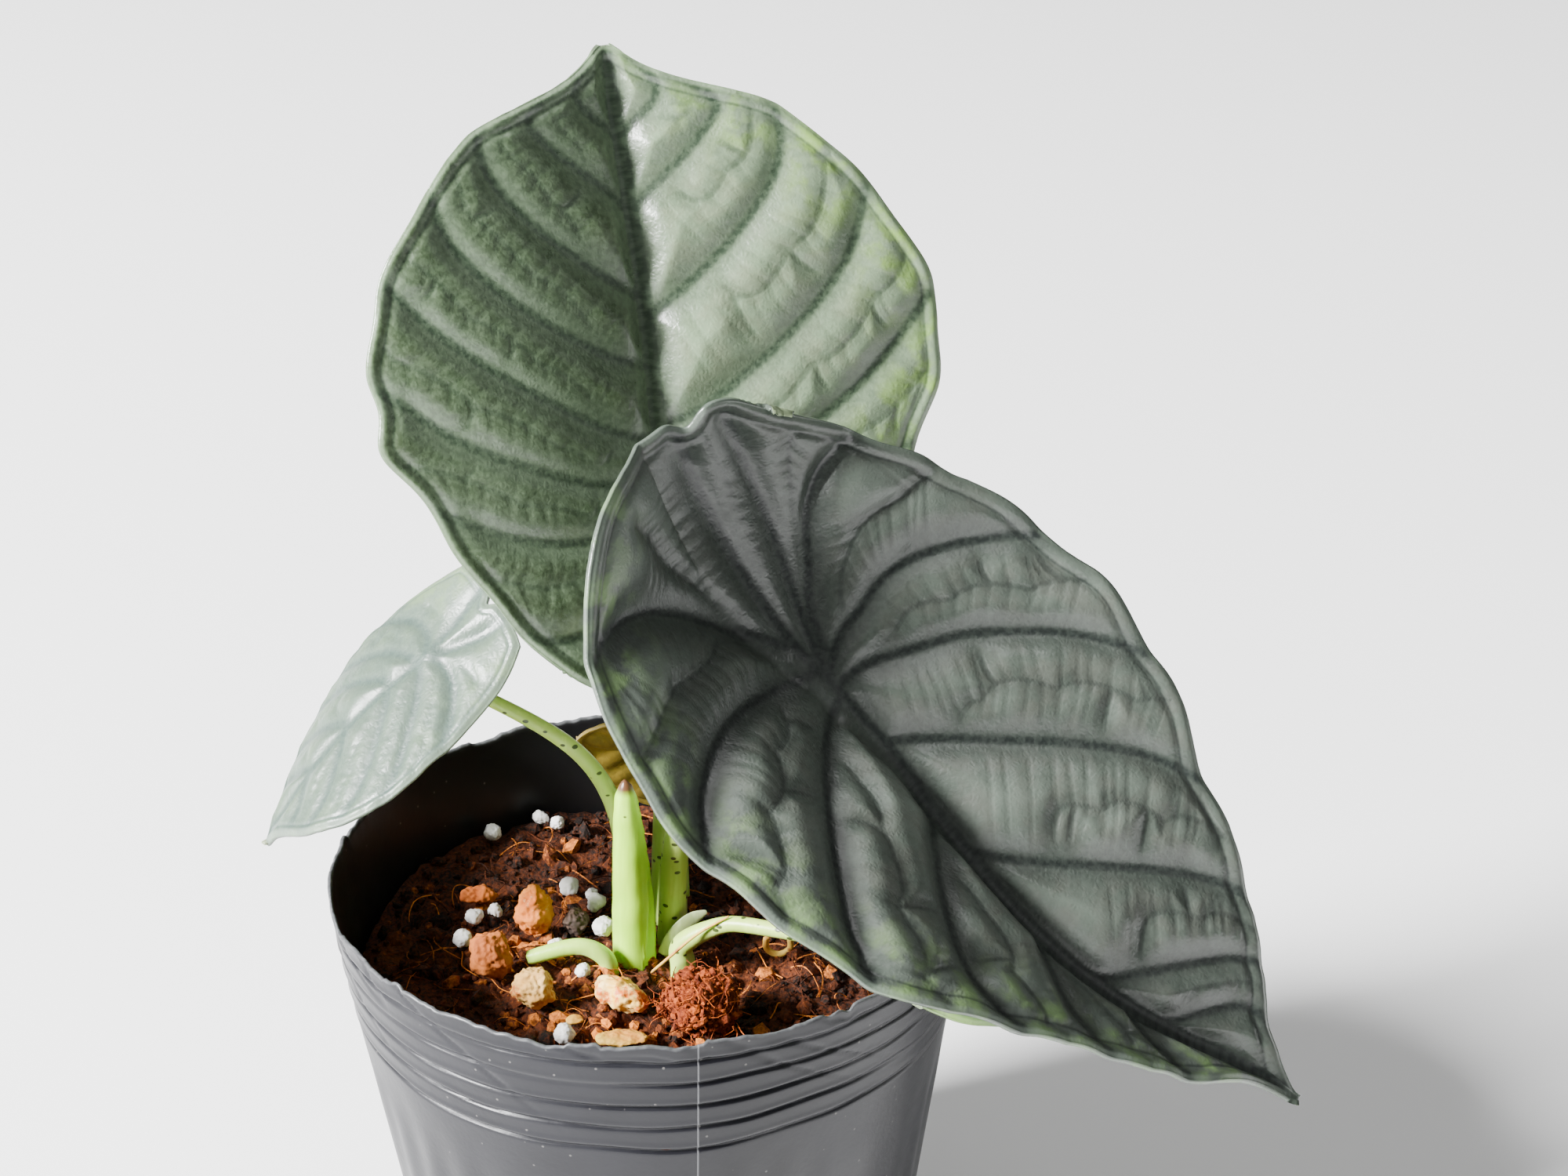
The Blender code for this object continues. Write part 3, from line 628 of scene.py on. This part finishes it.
# --- the small old leaf at the back, turning yellow
yellow_look = leaf_look(
    "leaf_yellowing", (0.5, 0.34, 0.04), (0.22, 0.15, 0.02), (0.17, 0.19, 0.03), (0.6, 0.42, 0.08), 0.4, 1.3,
    fresh_share=0.9,
)
grow_leaf(
    "yellow_leaf",
    dict(
        aim=(170, 14, -70), long=34, wide=27, hub=0.32, widest=0.52, blunt=0.14, base=(2, 0.6),
        tip=(2.1, 0.62), drip=0.5, pinch=0.2, notch=2, lobe=2, bend=(-16, 10), fold=(-4, -4),
        curl=(-26, -26), wavy=0.02, waves=4.0, band=1.3, pucker=0.6, thick=0.8, grooves=0,
        plain=dict(drip=0.5),
        veins=[[((0.32, 0), (0.16, 0.3), (0.1, 0.8)), (0.34, 0.6, 1.3), (0.5, 0.8, 1.1),
                (0.66, 0.92, 1.0)]] * 2,
    ),
    "leaf_blade_yellow", [yellow_look, yellow_look], seed=13, rows=90, columns=70,
)

# ------------------------------------------------------------------ the nursery pot
# A soft black film pot, blow moulded and trimmed with a knife: five pressed rings under a ragged
# pale cut, faint upright flutes, one thin moulding line at the front, six drain holes.
pot_height, rim_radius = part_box("nursery_pot")[1].z * 1000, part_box("nursery_pot")[1].x * 1000
base_radius = rim_radius - 14.6
film_thick, floor_thick = 0.9, 1.2
foot_round = 1.5
seam_at = math.radians(-80.7)
ring_count, first_ring, ring_pitch = 5, 3.8, 4.9
flute_count, flute_top = 34, 76
hole_count, hole_radius, hole_circle = 6, 3.5, 32.7

# the film's outline as (radius, height), out along the floor, up outside, over the rim and down inside
slope = (rim_radius - base_radius) / pot_height
profile = [(base_radius * k / 6, 0.0) for k in range(6)]
for a in np.linspace(0, 1.3, 5):
    profile.append((base_radius - foot_round * (1 - math.sin(a)), foot_round * (1 - math.cos(a))))
wall_start = len(profile)
for z in (*np.linspace(2, 77, 46), *np.linspace(77.4, pot_height - 0.3, 84)):
    profile.append((base_radius + slope * z, z))
wall_end = len(profile)
profile += [(rim_radius - film_thick * k, pot_height) for k in (0.25, 0.75)]
for z in (*np.linspace(pot_height - 0.3, 78, 34), *np.linspace(74, floor_thick, 8)):
    profile.append((base_radius + slope * z - film_thick, z))
profile += [((base_radius - film_thick) * k / 5, floor_thick) for k in (4, 2, 0)]
profile = np.array(profile)

bpy.ops.object.select_all(action="DESELECT")
bpy.ops.mesh.primitive_grid_add(x_subdivisions=460, y_subdivisions=len(profile) - 1, size=2)
pot = bpy.context.object
pot.name = "film_pot"
grid = points_of(pot.data)
step = np.rint((grid[:, 1] + 1) / 2 * (len(profile) - 1)).astype(int)
turn = grid[:, 0] * math.pi
turn = np.where(grid[:, 0] > 0.9999, -math.pi, turn)
radius, z = profile[step, 0].copy(), profile[step, 1].copy()


def ripple(a, z, scale, tall, seed):
    """Smooth noise round the pot: scale is features round it, tall their height in mm."""
    spots = zip(np.cos(a) * scale / 6.3, np.sin(a) * scale / 6.3, z / tall)
    return np.array([noise.noise(Vector((c, s, h + seed))) for c, s, h in spots])


def sew_up():
    """Closes the seams of the active piece, turns its faces outwards and smooths it."""
    bpy.ops.object.mode_set(mode="EDIT")
    bpy.ops.mesh.select_all(action="SELECT")
    bpy.ops.mesh.remove_doubles(threshold=1e-6)
    bpy.ops.mesh.normals_make_consistent(inside=False)
    bpy.ops.object.mode_set(mode="OBJECT")
    bpy.ops.object.shade_smooth()


free = ((z - 40) / 65).clip(0, 1)  # the wall is less true the higher it stands
radius += free * 1.5 * ripple(turn, z, 7, 90, 3) * (radius > 5)
radius += 0.35 * ripple(turn, z, 22, 60, 11) * (radius > 40)
lean = 1.4 * ripple(turn, z * 0, 9, 1, 20)
outer = (step >= wall_start) & (step <= wall_end)
for ring in range(ring_count):
    at = pot_height - first_ring - ring_pitch * ring + lean * (0.6 + 0.2 * ring)
    at += 0.5 * ripple(turn, z * 0 + ring, 30, 1, 40)
    deep = 0.5 + 0.45 * ripple(turn, z * 0 + 7 * ring, 16, 1, 60)
    radius += np.where(outer, -1.15 * deep * np.exp(-(((z - at) / 0.42) ** 2)), 0)
    radius += np.where(outer, 0.3 * deep * np.exp(-(((z - at - 1.0) / 0.6) ** 2)), 0)
flute = ((flute_top - z) / 12).clip(0, 1) * (0.55 + ripple(turn, z * 0, 12, 1, 80))
radius += np.where(outer, 0.32 * flute * np.cos(turn * flute_count), 0)
crease = ripple(turn + z * 0.03, z, 26, 26, 90)
radius -= np.where(outer, 0.3 * np.exp(-((crease / 0.045) ** 2)) * ((z - 84) / 12).clip(0, 1), 0)
radius += 2.0 * (z / pot_height) ** 2 * (-np.cos(turn)).clip(0, 1) ** 1.5
ragged = 1.3 * ripple(turn, z * 0, 13, 1, 5) + 0.9 * ripple(turn, z * 0, 45, 1, 6)
ragged += 0.8 * np.sign(ripple(turn, z * 0, 60, 1, 7)) * abs(ripple(turn, z * 0, 24, 1, 8))
ragged += 0.7 * ripple(turn, z * 0, 170, 1, 9)
lift = ((z - pot_height + 5) / 5).clip(0, 1) ** 1.5
z += ragged * lift
line = np.exp(-(((turn - seam_at) * rim_radius / 0.35) ** 2)) * outer
radius += 0.1 * line
place = np.stack([radius * np.cos(turn), radius * np.sin(turn), z], -1) / 1000
pot.data.vertices.foreach_set("co", place.ravel())
painted(pot.data, "from_cut", pot_height + ragged - z)
painted(pot.data, "inside", step > wall_end)
sew_up()
for hole in range(hole_count):
    a = 2 * math.pi * (hole + 0.31) / hole_count
    bpy.ops.mesh.primitive_cylinder_add(
        vertices=32, radius=hole_radius / 1000, depth=0.007,
        location=(hole_circle / 1000 * math.cos(a), hole_circle / 1000 * math.sin(a), 0),
    )
    punch = bpy.context.object
    bpy.context.view_layer.objects.active = pot
    cut = pot.modifiers.new("hole", "BOOLEAN")
    cut.object = punch
    cut.solver = "EXACT"
    bpy.ops.object.modifier_apply(modifier="hole")
    bpy.data.objects.remove(punch)

film, tree, shader = material("pot_film")
place = wire(tree, "ShaderNodeTexCoord").outputs["Object"]
cut_away = wire(tree, "ShaderNodeAttribute", attribute_name="from_cut").outputs["Fac"]
axes = wire(tree, "ShaderNodeSeparateXYZ", {"Vector": place}).outputs
off_line = sums(tree, "ADD", axes["X"], times(tree, axes["Y"], -1 / math.tan(seam_at)))
off_line = sums(tree, "ABSOLUTE", off_line)
moulding = times(tree, fades(tree, off_line, 0.00008, 0.0002), fades(tree, axes["Y"], -0.02, -0.01))
within = wire(tree, "ShaderNodeAttribute", attribute_name="inside").outputs["Fac"]
cloud = mottle(tree, place, 60, 4)
fuzz = mottle(tree, place, 900, 4)
dust = wire(tree, "ShaderNodeTexVoronoi", {"Vector": place, "Scale": 260.0}).outputs["Distance"]
tone = ramp(tree, cloud, ((0.3, (0.005, 0.005, 0.007)), (0.7, (0.009, 0.009, 0.012))))
tone = mixed(tree, within, tone, (0.008, 0.008, 0.009))
tone = layered(tree, tone, fades(tree, dust, 0.04, 0.08), 0.25, (0.3, 0.28, 0.26))
rim_share = times(tree, fades(tree, cut_away, 0.0, 0.6), times(tree, fuzz, 0.9))
tone = mixed(tree, rim_share, tone, (0.16, 0.165, 0.17))
tone = layered(tree, tone, moulding, 0.5, (0.2, 0.2, 0.21))
gloss = ranged(tree, cloud, 0.3, 0.7, 0.3, 0.42)
feed(tree, shader, {"Base Color": tone, "Roughness": gloss, "Specular IOR Level": 0.3})
bump = wire(tree, "ShaderNodeBump", {"Height": cloud, "Strength": 0.25, "Distance": 0.0008})
fine = {"Height": fuzz, "Strength": 0.15, "Distance": 0.0002, "Normal": bump.outputs["Normal"]}
feed(tree, shader, {"Normal": wire(tree, "ShaderNodeBump", fine).outputs["Normal"]})
pot.data.materials.append(film)
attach(pot, "root")
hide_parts("nursery_pot")


# ------------------------------------------------------------------ the potting mix
# Coir and bark crumbs, rust orange to nearly black, watered flat and strewn with fine fibres.
# One rough ground carries a loose layer of crumbs and a layer of fibres.
mix_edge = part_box("potting_mix")[1].x * 1000 + 0.5


def ground(x, y):
    """Height in millimetres of the rough surface of the mix, a low mound higher at the back left."""
    z = 83.6 + 3.5 * math.exp(-(x * x + y * y) / 800) + 2.2 * (0.7 * y - 0.6 * x) / 60
    z += 2.6 * noise.noise(Vector((x * 0.05, y * 0.05, 4)))
    return z + 1.7 * noise.noise(Vector((x * 0.16, y * 0.16, 9)))


bpy.ops.object.select_all(action="DESELECT")
bpy.ops.mesh.primitive_grid_add(x_subdivisions=200, y_subdivisions=120, size=2)
mix = bpy.context.object
mix.name = "mix_ground"
for vertex in mix.data.vertices:
    turn = vertex.co.x * math.pi
    out = (vertex.co.y + 1) / 2 * 1.02
    reach = (mix_edge + 0.9 * max(0, -math.cos(turn)) ** 1.5) * min(out, 1)
    x, y = reach * math.cos(turn), reach * math.sin(turn)
    z = ground(x, y) + 0.9 * noise.noise(Vector((x * 0.5, y * 0.5, 2)))
    z += 0.6 * noise.noise(Vector((x * 1.3, y * 1.3, 6)))
    if out > 1:
        x, y, z = 0.76 * x, 0.76 * y, 2
    vertex.co = (x / 1000, y / 1000, z / 1000)
sew_up()


def soil_look(name, dark, mid, light):
    """Wet crumbs, each with a tone from dark to light; on the loose crumbs of the mix that tone is partly
    painted shade.
    """
    made, tree, shader = material(name)
    place = wire(tree, "ShaderNodeTexCoord").outputs["Object"]
    own = wire(tree, "ShaderNodeAttribute", attribute_name="tone").outputs["Fac"]
    wide = mottle(tree, place, 70, 3)
    grain = mottle(tree, place, 1500, 5)
    share = sums(tree, "ADD", times(tree, own, 0.62), times(tree, wide, 0.55))
    share = sums(tree, "ADD", share, times(tree, sums(tree, "SUBTRACT", grain, 0.5), 0.8))
    tone = ramp(tree, share, ((0.22, dark), (0.55, mid), (0.95, light)))
    feed(tree, shader, {"Base Color": tone, "Roughness": 0.85, "Specular IOR Level": 0.25})
    roughened(tree, shader, grain, 0.8, 0.0005)
    return made


coir_look = soil_look("coir_mix", (0.006, 0.0025, 0.0012), (0.11, 0.023, 0.003), (0.68, 0.2, 0.022))
mix.data.materials.append(coir_look)
painted(mix.data, "tone", 0.14)
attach(mix, "root")
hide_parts("potting_mix")

bpy.ops.mesh.primitive_ico_sphere_add(subdivisions=1, radius=1)
seed_stone = bpy.context.object
stone = np.array([v.co for v in seed_stone.data.vertices])
stone_faces = np.array([list(p.vertices) for p in seed_stone.data.polygons])
bpy.data.objects.remove(seed_stone)


def loose(name, points, faces, tones, look):
    """One mesh of many small shapes, in millimetres, with a tone for each point."""
    mesh = bpy.data.meshes.new(name)
    mesh.from_pydata((np.concatenate(points) / 1000).tolist(), [], faces)
    painted(mesh, "tone", np.concatenate(tones))
    mesh.materials.append(look)
    made = bpy.data.objects.new(name, mesh)
    bpy.context.scene.collection.objects.link(made)
    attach(made, "root")
    return made


def strewn(name, grains, look):
    """One mesh of small rough grains: each (x, y, z, size, tone) in millimetres."""
    rng = np.random.default_rng(len(name) + 40)
    points, faces, tones = [], [], []
    for k, (x, y, z, size, tone) in enumerate(grains):
        spin = np.linalg.qr(rng.normal(size=(3, 3)))[0]
        shape = stone * rng.uniform(0.75, 1.25, (len(stone), 1)) * rng.uniform(0.55, 1.15, 3) * size
        points.append(shape @ spin + (x, y, z))
        turned = stone_faces if np.linalg.det(spin) > 0 else stone_faces[:, ::-1]
        faces.append(turned + k * len(stone))
        tones.append(np.full(len(stone), tone))
    return loose(name, points, np.concatenate(faces).tolist(), tones, look)


def threads(name, runs, look):
    """One mesh of thin three-sided threads: each (list of points, radius, tone) in millimetres."""
    points, faces, tones = [], [], []
    for run, size, tone in runs:
        run = np.array(run)
        ahead = np.gradient(run, axis=0)
        ahead /= np.linalg.norm(ahead, axis=1, keepdims=True)
        side = np.cross(ahead, (0.1, 0.2, 1.0))
        side /= np.linalg.norm(side, axis=1, keepdims=True)
        up = np.cross(side, ahead)
        first = sum(len(p) for p in points)
        for a in (0, 2.1, 4.2):
            points.append(run + size * (side * math.cos(a) + up * math.sin(a)))
        count = len(run)
        for i in range(count - 1):
            for s in range(3):
                a, b = first + s * count + i, first + (s + 1) % 3 * count + i
                faces.append((a, b, b + 1, a + 1))
        faces.append((first + 2 * count, first + count, first))
        faces.append((first + count - 1, first + 2 * count - 1, first + 3 * count - 1))
        tones.append(np.full(3 * count, tone))
    return loose(name, points, faces, tones, look)


crumb_count, chunk_count, fibre_count = 2300, 130, 420
rng = random.Random(21)
grains = []
for _ in range(crumb_count):
    turn, out = rng.uniform(0, 2 * math.pi), math.sqrt(rng.random()) * (mix_edge - 1.5)
    x, y = out * math.cos(turn), out * math.sin(turn)
    size = min(2.5, 0.28 + rng.expovariate(2.1))
    patch = noise.noise(Vector((x * 0.09, y * 0.09, 31)))
    # painted shade: a crumb darkens with its distance from a lit patch in front of the crown and left of it,
    # standing in for the shade of the leaves and the pot's wall
    tone = 0.5 + 0.7 * patch + rng.gauss(0, 0.26) - 0.7 * min(1, ((x + 12) ** 2 + (y + 14) ** 2) / 1300)
    tone = min(1, max(0, tone))
    grains.append((x, y, ground(x, y) + 0.25 * size, size, tone))
for _ in range(chunk_count):
    turn, out = rng.uniform(0, 2 * math.pi), math.sqrt(rng.random()) * (mix_edge - 4)
    x, y = out * math.cos(turn), out * math.sin(turn)
    grains.append((x, y, ground(x, y), rng.uniform(1.5, 2.7), rng.uniform(0.1, 0.75)))
crumbs = strewn("mix_crumbs", grains, coir_look)

runs = []
for _ in range(fibre_count):
    turn, out = rng.uniform(0, 2 * math.pi), math.sqrt(rng.random()) * (mix_edge - 6)
    x, y = out * math.cos(turn), out * math.sin(turn)
    heading, bend = rng.uniform(0, 2 * math.pi), rng.gauss(0, 0.16)
    long = rng.uniform(3, 14)
    hop = rng.uniform(0.2, 1.6)
    run = []
    for k in range(11):
        share = k / 10
        run.append((x, y, ground(x, y) + 0.35 + hop * math.sin(math.pi * share)))
        x += long / 10 * math.cos(heading)
        y += long / 10 * math.sin(heading)
        heading += bend + rng.gauss(0, 0.12)
        if math.hypot(x, y) > mix_edge - 1.5:
            x, y = 0.97 * x, 0.97 * y
            heading += 0.8
    runs.append((run, rng.uniform(0.06, 0.16), rng.choice((0.05, 0.2, 0.4, 0.6, 0.9))))
fibres = threads("mix_fibres", runs, coir_look)


# ------------------------------------------------------------------ loose pieces on the mix
# White perlite beads, husk chips, one clump of coir pith and a broken piece of old corm, all
# half sunk in the mix, with dry scraps of leaf.
def refined(name, node, look, levels=2, dent=0.0, scale=0.3, seed=0, fine=0.0):
    """A smooth, finely divided copy of a CAD node, dented by noise (millimetres)."""
    made = bpy.data.objects.new(name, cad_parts[node].data.copy())
    bpy.context.scene.collection.objects.link(made)
    made.data.materials.clear()
    made.data.materials.append(look)
    bpy.ops.object.select_all(action="DESELECT")
    made.hide_render = made.hide_viewport = False
    made.select_set(True)
    bpy.context.view_layer.objects.active = made
    bpy.ops.object.mode_set(mode="EDIT")
    bpy.ops.mesh.select_all(action="SELECT")
    bpy.ops.mesh.remove_doubles(threshold=1e-6)
    bpy.ops.mesh.tris_convert_to_quads()
    bpy.ops.object.mode_set(mode="OBJECT")
    if levels:
        smooth = made.modifiers.new("smooth", "SUBSURF")
        smooth.levels = levels
        bpy.ops.object.modifier_apply(modifier="smooth")
    if dent or fine:
        moves = []
        for vertex in made.data.vertices:
            at = vertex.co * 1000
            push = dent * noise.noise(at * scale + Vector((seed, 2 * seed, 0)))
            push += fine * noise.noise(at * scale * 4 + Vector((seed, seed, 3)))
            moves.append(vertex.co + vertex.normal * push / 1000)
        for vertex, move in zip(made.data.vertices, moves):
            vertex.co = move
    bpy.ops.object.shade_smooth()
    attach(made, "root")
    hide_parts(node)
    return made


def stained(name, low, high, stain, share, rough, grain_size=700.0, deep=0.0005):
    """A rough natural skin in two tones with stains."""
    made, tree, shader = material(name)
    place = wire(tree, "ShaderNodeTexCoord").outputs["Object"]
    wide = mottle(tree, place, 170, 4)
    spots = wire(
        tree, "ShaderNodeTexNoise", {"Vector": place, "Scale": 330.0, "Detail": 6.0, "Roughness": 0.65}
    ).outputs["Fac"]
    grain = mottle(tree, place, grain_size, 5)
    tone = ramp(tree, wide, ((0.35, low), (0.65, high)))
    tone = mixed(tree, fades(tree, spots, share, share - 0.14), stain, tone)
    feed(tree, shader, {"Base Color": tone, "Roughness": rough, "Specular IOR Level": 0.3})
    roughened(tree, shader, grain, 0.7, deep)
    return made


perlite_look = stained("perlite", (0.62, 0.6, 0.56), (0.8, 0.79, 0.77), (0.42, 0.3, 0.22), 0.38, 0.8)
for number in range(1, 14):
    refined(
        f"perlite_bead_{number:02d}", f"perlite_{number:02d}", perlite_look, dent=0.5,
        scale=0.55, seed=number, fine=0.22,
    )
chip_looks = (
    stained("husk_orange", (0.42, 0.09, 0.008), (0.6, 0.19, 0.025), (0.6, 0.4, 0.2), 0.4, 0.8),
    stained("husk_dark", (0.03, 0.02, 0.016), (0.08, 0.045, 0.03), (0.2, 0.1, 0.06), 0.36, 0.8),
    stained("husk_brown", (0.2, 0.045, 0.006), (0.36, 0.1, 0.014), (0.04, 0.012, 0.004), 0.42, 0.85),
    stained("husk_pale", (0.4, 0.2, 0.04), (0.58, 0.36, 0.12), (0.3, 0.08, 0.012), 0.45, 0.8),
    stained("husk_rust", (0.3, 0.06, 0.006), (0.45, 0.12, 0.015), (0.05, 0.015, 0.005), 0.4, 0.85),
)
for number, look in zip((1, 4, 2, 3, 5), chip_looks):
    refined(
        f"husk_{number}", f"husk_chip_{number}", look, levels=3, dent=1.1, scale=0.35,
        seed=20 + number, fine=0.5,
    )
refined(
    "corm_piece", "old_corm_piece",
    stained("old_corm", (0.74, 0.38, 0.02), (0.84, 0.64, 0.28), (0.55, 0.12, 0.012), 0.54, 0.5, 420.0),
    levels=3, dent=0.9, scale=0.4, seed=5, fine=0.4,
)
scrap_look = stained(
    "dry_scrap", (0.5, 0.2, 0.03), (0.62, 0.42, 0.07), (0.25, 0.08, 0.02), 0.46, 0.6, 420.0, 0.0003
)
refined("scrap_1", "dry_flake_1", scrap_look, levels=3, dent=0.5, scale=0.5, seed=2, fine=0.15)
refined("scrap_2", "dry_flake_2", scrap_look, levels=3, dent=0.3, scale=0.5, seed=3, fine=0.1)
refined("curled_strip", "dry_curl", scrap_look)
refined("loose_root", "dry_root", scrap_look)

clump_look = soil_look("coir_clump", (0.03, 0.004, 0.001), (0.15, 0.022, 0.002), (0.38, 0.075, 0.006))
clump = refined(
    "clump_core", "coir_clump", clump_look, levels=3, dent=1.4, scale=0.3, seed=8, fine=1.0
)
painted(clump.data, "tone", 0.35)
skin = clump.data.vertices
grains, runs = [], []
for _ in range(500):
    spot = skin[rng.randrange(len(skin))]
    x, y, z = (spot.co + spot.normal * 0.0001) * 1000
    grains.append((x, y, z, min(1.1, 0.25 + rng.expovariate(3.5)), min(1, max(0, rng.gauss(0.5, 0.25)))))
for _ in range(240):
    spot = skin[rng.randrange(len(skin))]
    way = Vector([rng.gauss(0, 1) for _ in range(3)])
    way = (way - way.dot(spot.normal) * spot.normal * 0.8).normalized()
    at, run = spot.co * 1000 + spot.normal * 0.3, []
    for k in range(8):
        run.append(tuple(at))
        at = at + way * rng.uniform(0.4, 0.9)
        way = (way + Vector([rng.gauss(0, 0.2) for _ in range(3)]) - spot.normal * 0.08).normalized()
    runs.append((run, rng.uniform(0.05, 0.13), rng.choice((0.2, 0.5, 0.8, 1.0))))
strewn("clump_crumbs", grains, clump_look)
threads("clump_fibres", runs, clump_look)


# ------------------------------------------------------------------ stems and crown
# Round, juicy lime-green leaf stems flecked with short black dashes, the rolled new leaf with its
# withered brown tip, a cut stub and a pale striped old sheath.
def stem_look(name, low, high, flecks, stripe=0.0, tip_at=0.0):
    """Lime skin with a share of black flecks, darker stripes, and brown above tip_at metres."""
    made, tree, shader = material(name)
    place = wire(tree, "ShaderNodeTexCoord").outputs["Object"]
    long = wire(tree, "ShaderNodeMapping", {"Vector": place, "Scale": (1.0, 1.0, 0.12)}).outputs["Vector"]
    short = wire(tree, "ShaderNodeMapping", {"Vector": place, "Scale": (0.62, 0.62, 1.0)}).outputs["Vector"]
    streak = mottle(tree, long, 900, 3)
    wide = mottle(tree, place, 90, 2)
    cells = wire(tree, "ShaderNodeTexVoronoi", {"Vector": short, "Scale": 600.0, "Randomness": 1.0})
    shown = wire(tree, "ShaderNodeSeparateColor", {"Color": cells.outputs["Color"]}).outputs["Red"]
    tone = ramp(tree, wide, ((0.35, low), (0.65, high)))
    tone = layered(tree, tone, fades(tree, streak, 0.5, 0.35), 0.25 + stripe, shaded(low, 0.75))
    spots = fades(tree, cells.outputs["Distance"], 0.2, 0.26)
    some = sums(tree, "LESS_THAN", shown, flecks)
    tone = layered(tree, tone, times(tree, spots, some), 0.92, (0.012, 0.02, 0.008))
    if tip_at:
        level = wire(tree, "ShaderNodeSeparateXYZ", {"Vector": place}).outputs["Z"]
        ragged = sums(tree, "ADD", level, times(tree, wide, 0.002))
        tone = mixed(tree, rises(tree, ragged, tip_at, tip_at + 0.0016), tone, (0.09, 0.035, 0.012))
    feed(tree, shader, {"Base Color": tone, "Roughness": 0.38, "Specular IOR Level": 0.5})
    juicy = {"Weight": 0.25, "Radius": (0.6, 1.0, 0.2), "Scale": 0.0015}
    feed(tree, shader, {f"Subsurface {key}": value for key, value in juicy.items()})
    roughened(tree, shader, streak, 0.25, 0.0003)
    return made


lime = stem_look("stem_lime", (0.4, 0.58, 0.09), (0.52, 0.68, 0.17), 0.7)
plain_lime = stem_look("stem_plain", (0.38, 0.62, 0.07), (0.48, 0.7, 0.14), 0.04)
for key in ("back", "front", "left", "low", "yellow"):
    refined(f"petiole_{key}", f"stem_{key}", lime)
refined("stub", "cut_stem_stub", plain_lime)

# the rolled leaf: a stout furled blade whose free edge spirals up it, brown and withered at the tip;
# its middle line and its reach are (x, y, z, radius) in millimetres, from the crown up
rolls = np.array((
    (-4.2, -4.0, 83, 3.9), (-4.2, -4.0, 91, 4.15), (-4.2, -4.0, 101, 3.9), (-4.5, -4.1, 111, 3.3),
    (-4.9, -4.2, 118, 2.6), (-5.1, -4.2, 122.5, 2.0), (-5.1, -4.2, 125, 1.1), (-5.2, -4.2, 126, 0.25),
))
bpy.ops.object.select_all(action="DESELECT")
bpy.ops.mesh.primitive_cylinder_add(vertices=64, radius=1, depth=1, end_fill_type="TRIFAN")
spear = bpy.context.object
spear.name = "rolled_leaf"
bpy.ops.object.mode_set(mode="EDIT")
for level in (0, *np.linspace(-0.5, 0.5, 90)[1:-1]):
    bpy.ops.mesh.select_all(action="SELECT")
    bpy.ops.mesh.bisect(plane_co=(0, 0, level), plane_no=(0, 0, 1))
bpy.ops.object.mode_set(mode="OBJECT")
for vertex in spear.data.vertices:
    share = vertex.co.z + 0.5
    z = rolls[0, 2] + share * (rolls[-1, 2] - rolls[0, 2])
    x, y, reach = (np.interp(z, rolls[:, 2], rolls[:, k]) for k in (0, 1, 3))
    turn = math.atan2(vertex.co.y, vertex.co.x)
    edge = (turn + 1.15 - 1.3 * share) % (2 * math.pi) / (2 * math.pi)
    reach *= 1 + 0.13 * (edge - 0.5) * (1 - min(1, (1 - edge) / 0.03))
    uneven = 0.06 * noise.noise(Vector((turn, z * 0.2, 1)))
    reach *= 1 - 0.1 * math.exp(-(((edge - 0.06) / 0.05) ** 2)) + uneven
    reach *= min(1, math.hypot(vertex.co.x, vertex.co.y))
    vertex.co = ((x + reach * math.cos(turn)) / 1000, (y + reach * math.sin(turn)) / 1000, z / 1000)
bpy.ops.object.shade_smooth()
spear_look = stem_look("rolled_leaf", (0.36, 0.68, 0.02), (0.47, 0.77, 0.05), 0.05, tip_at=0.1238)
spear.data.materials.append(spear_look)
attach(spear, "root")
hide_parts("new_leaf_spear")
sheath_look = stem_look("sheath", (0.42, 0.5, 0.22), (0.5, 0.58, 0.3), 0.02, stripe=0.5)
refined("pale_sheath", "old_sheath", sheath_look)
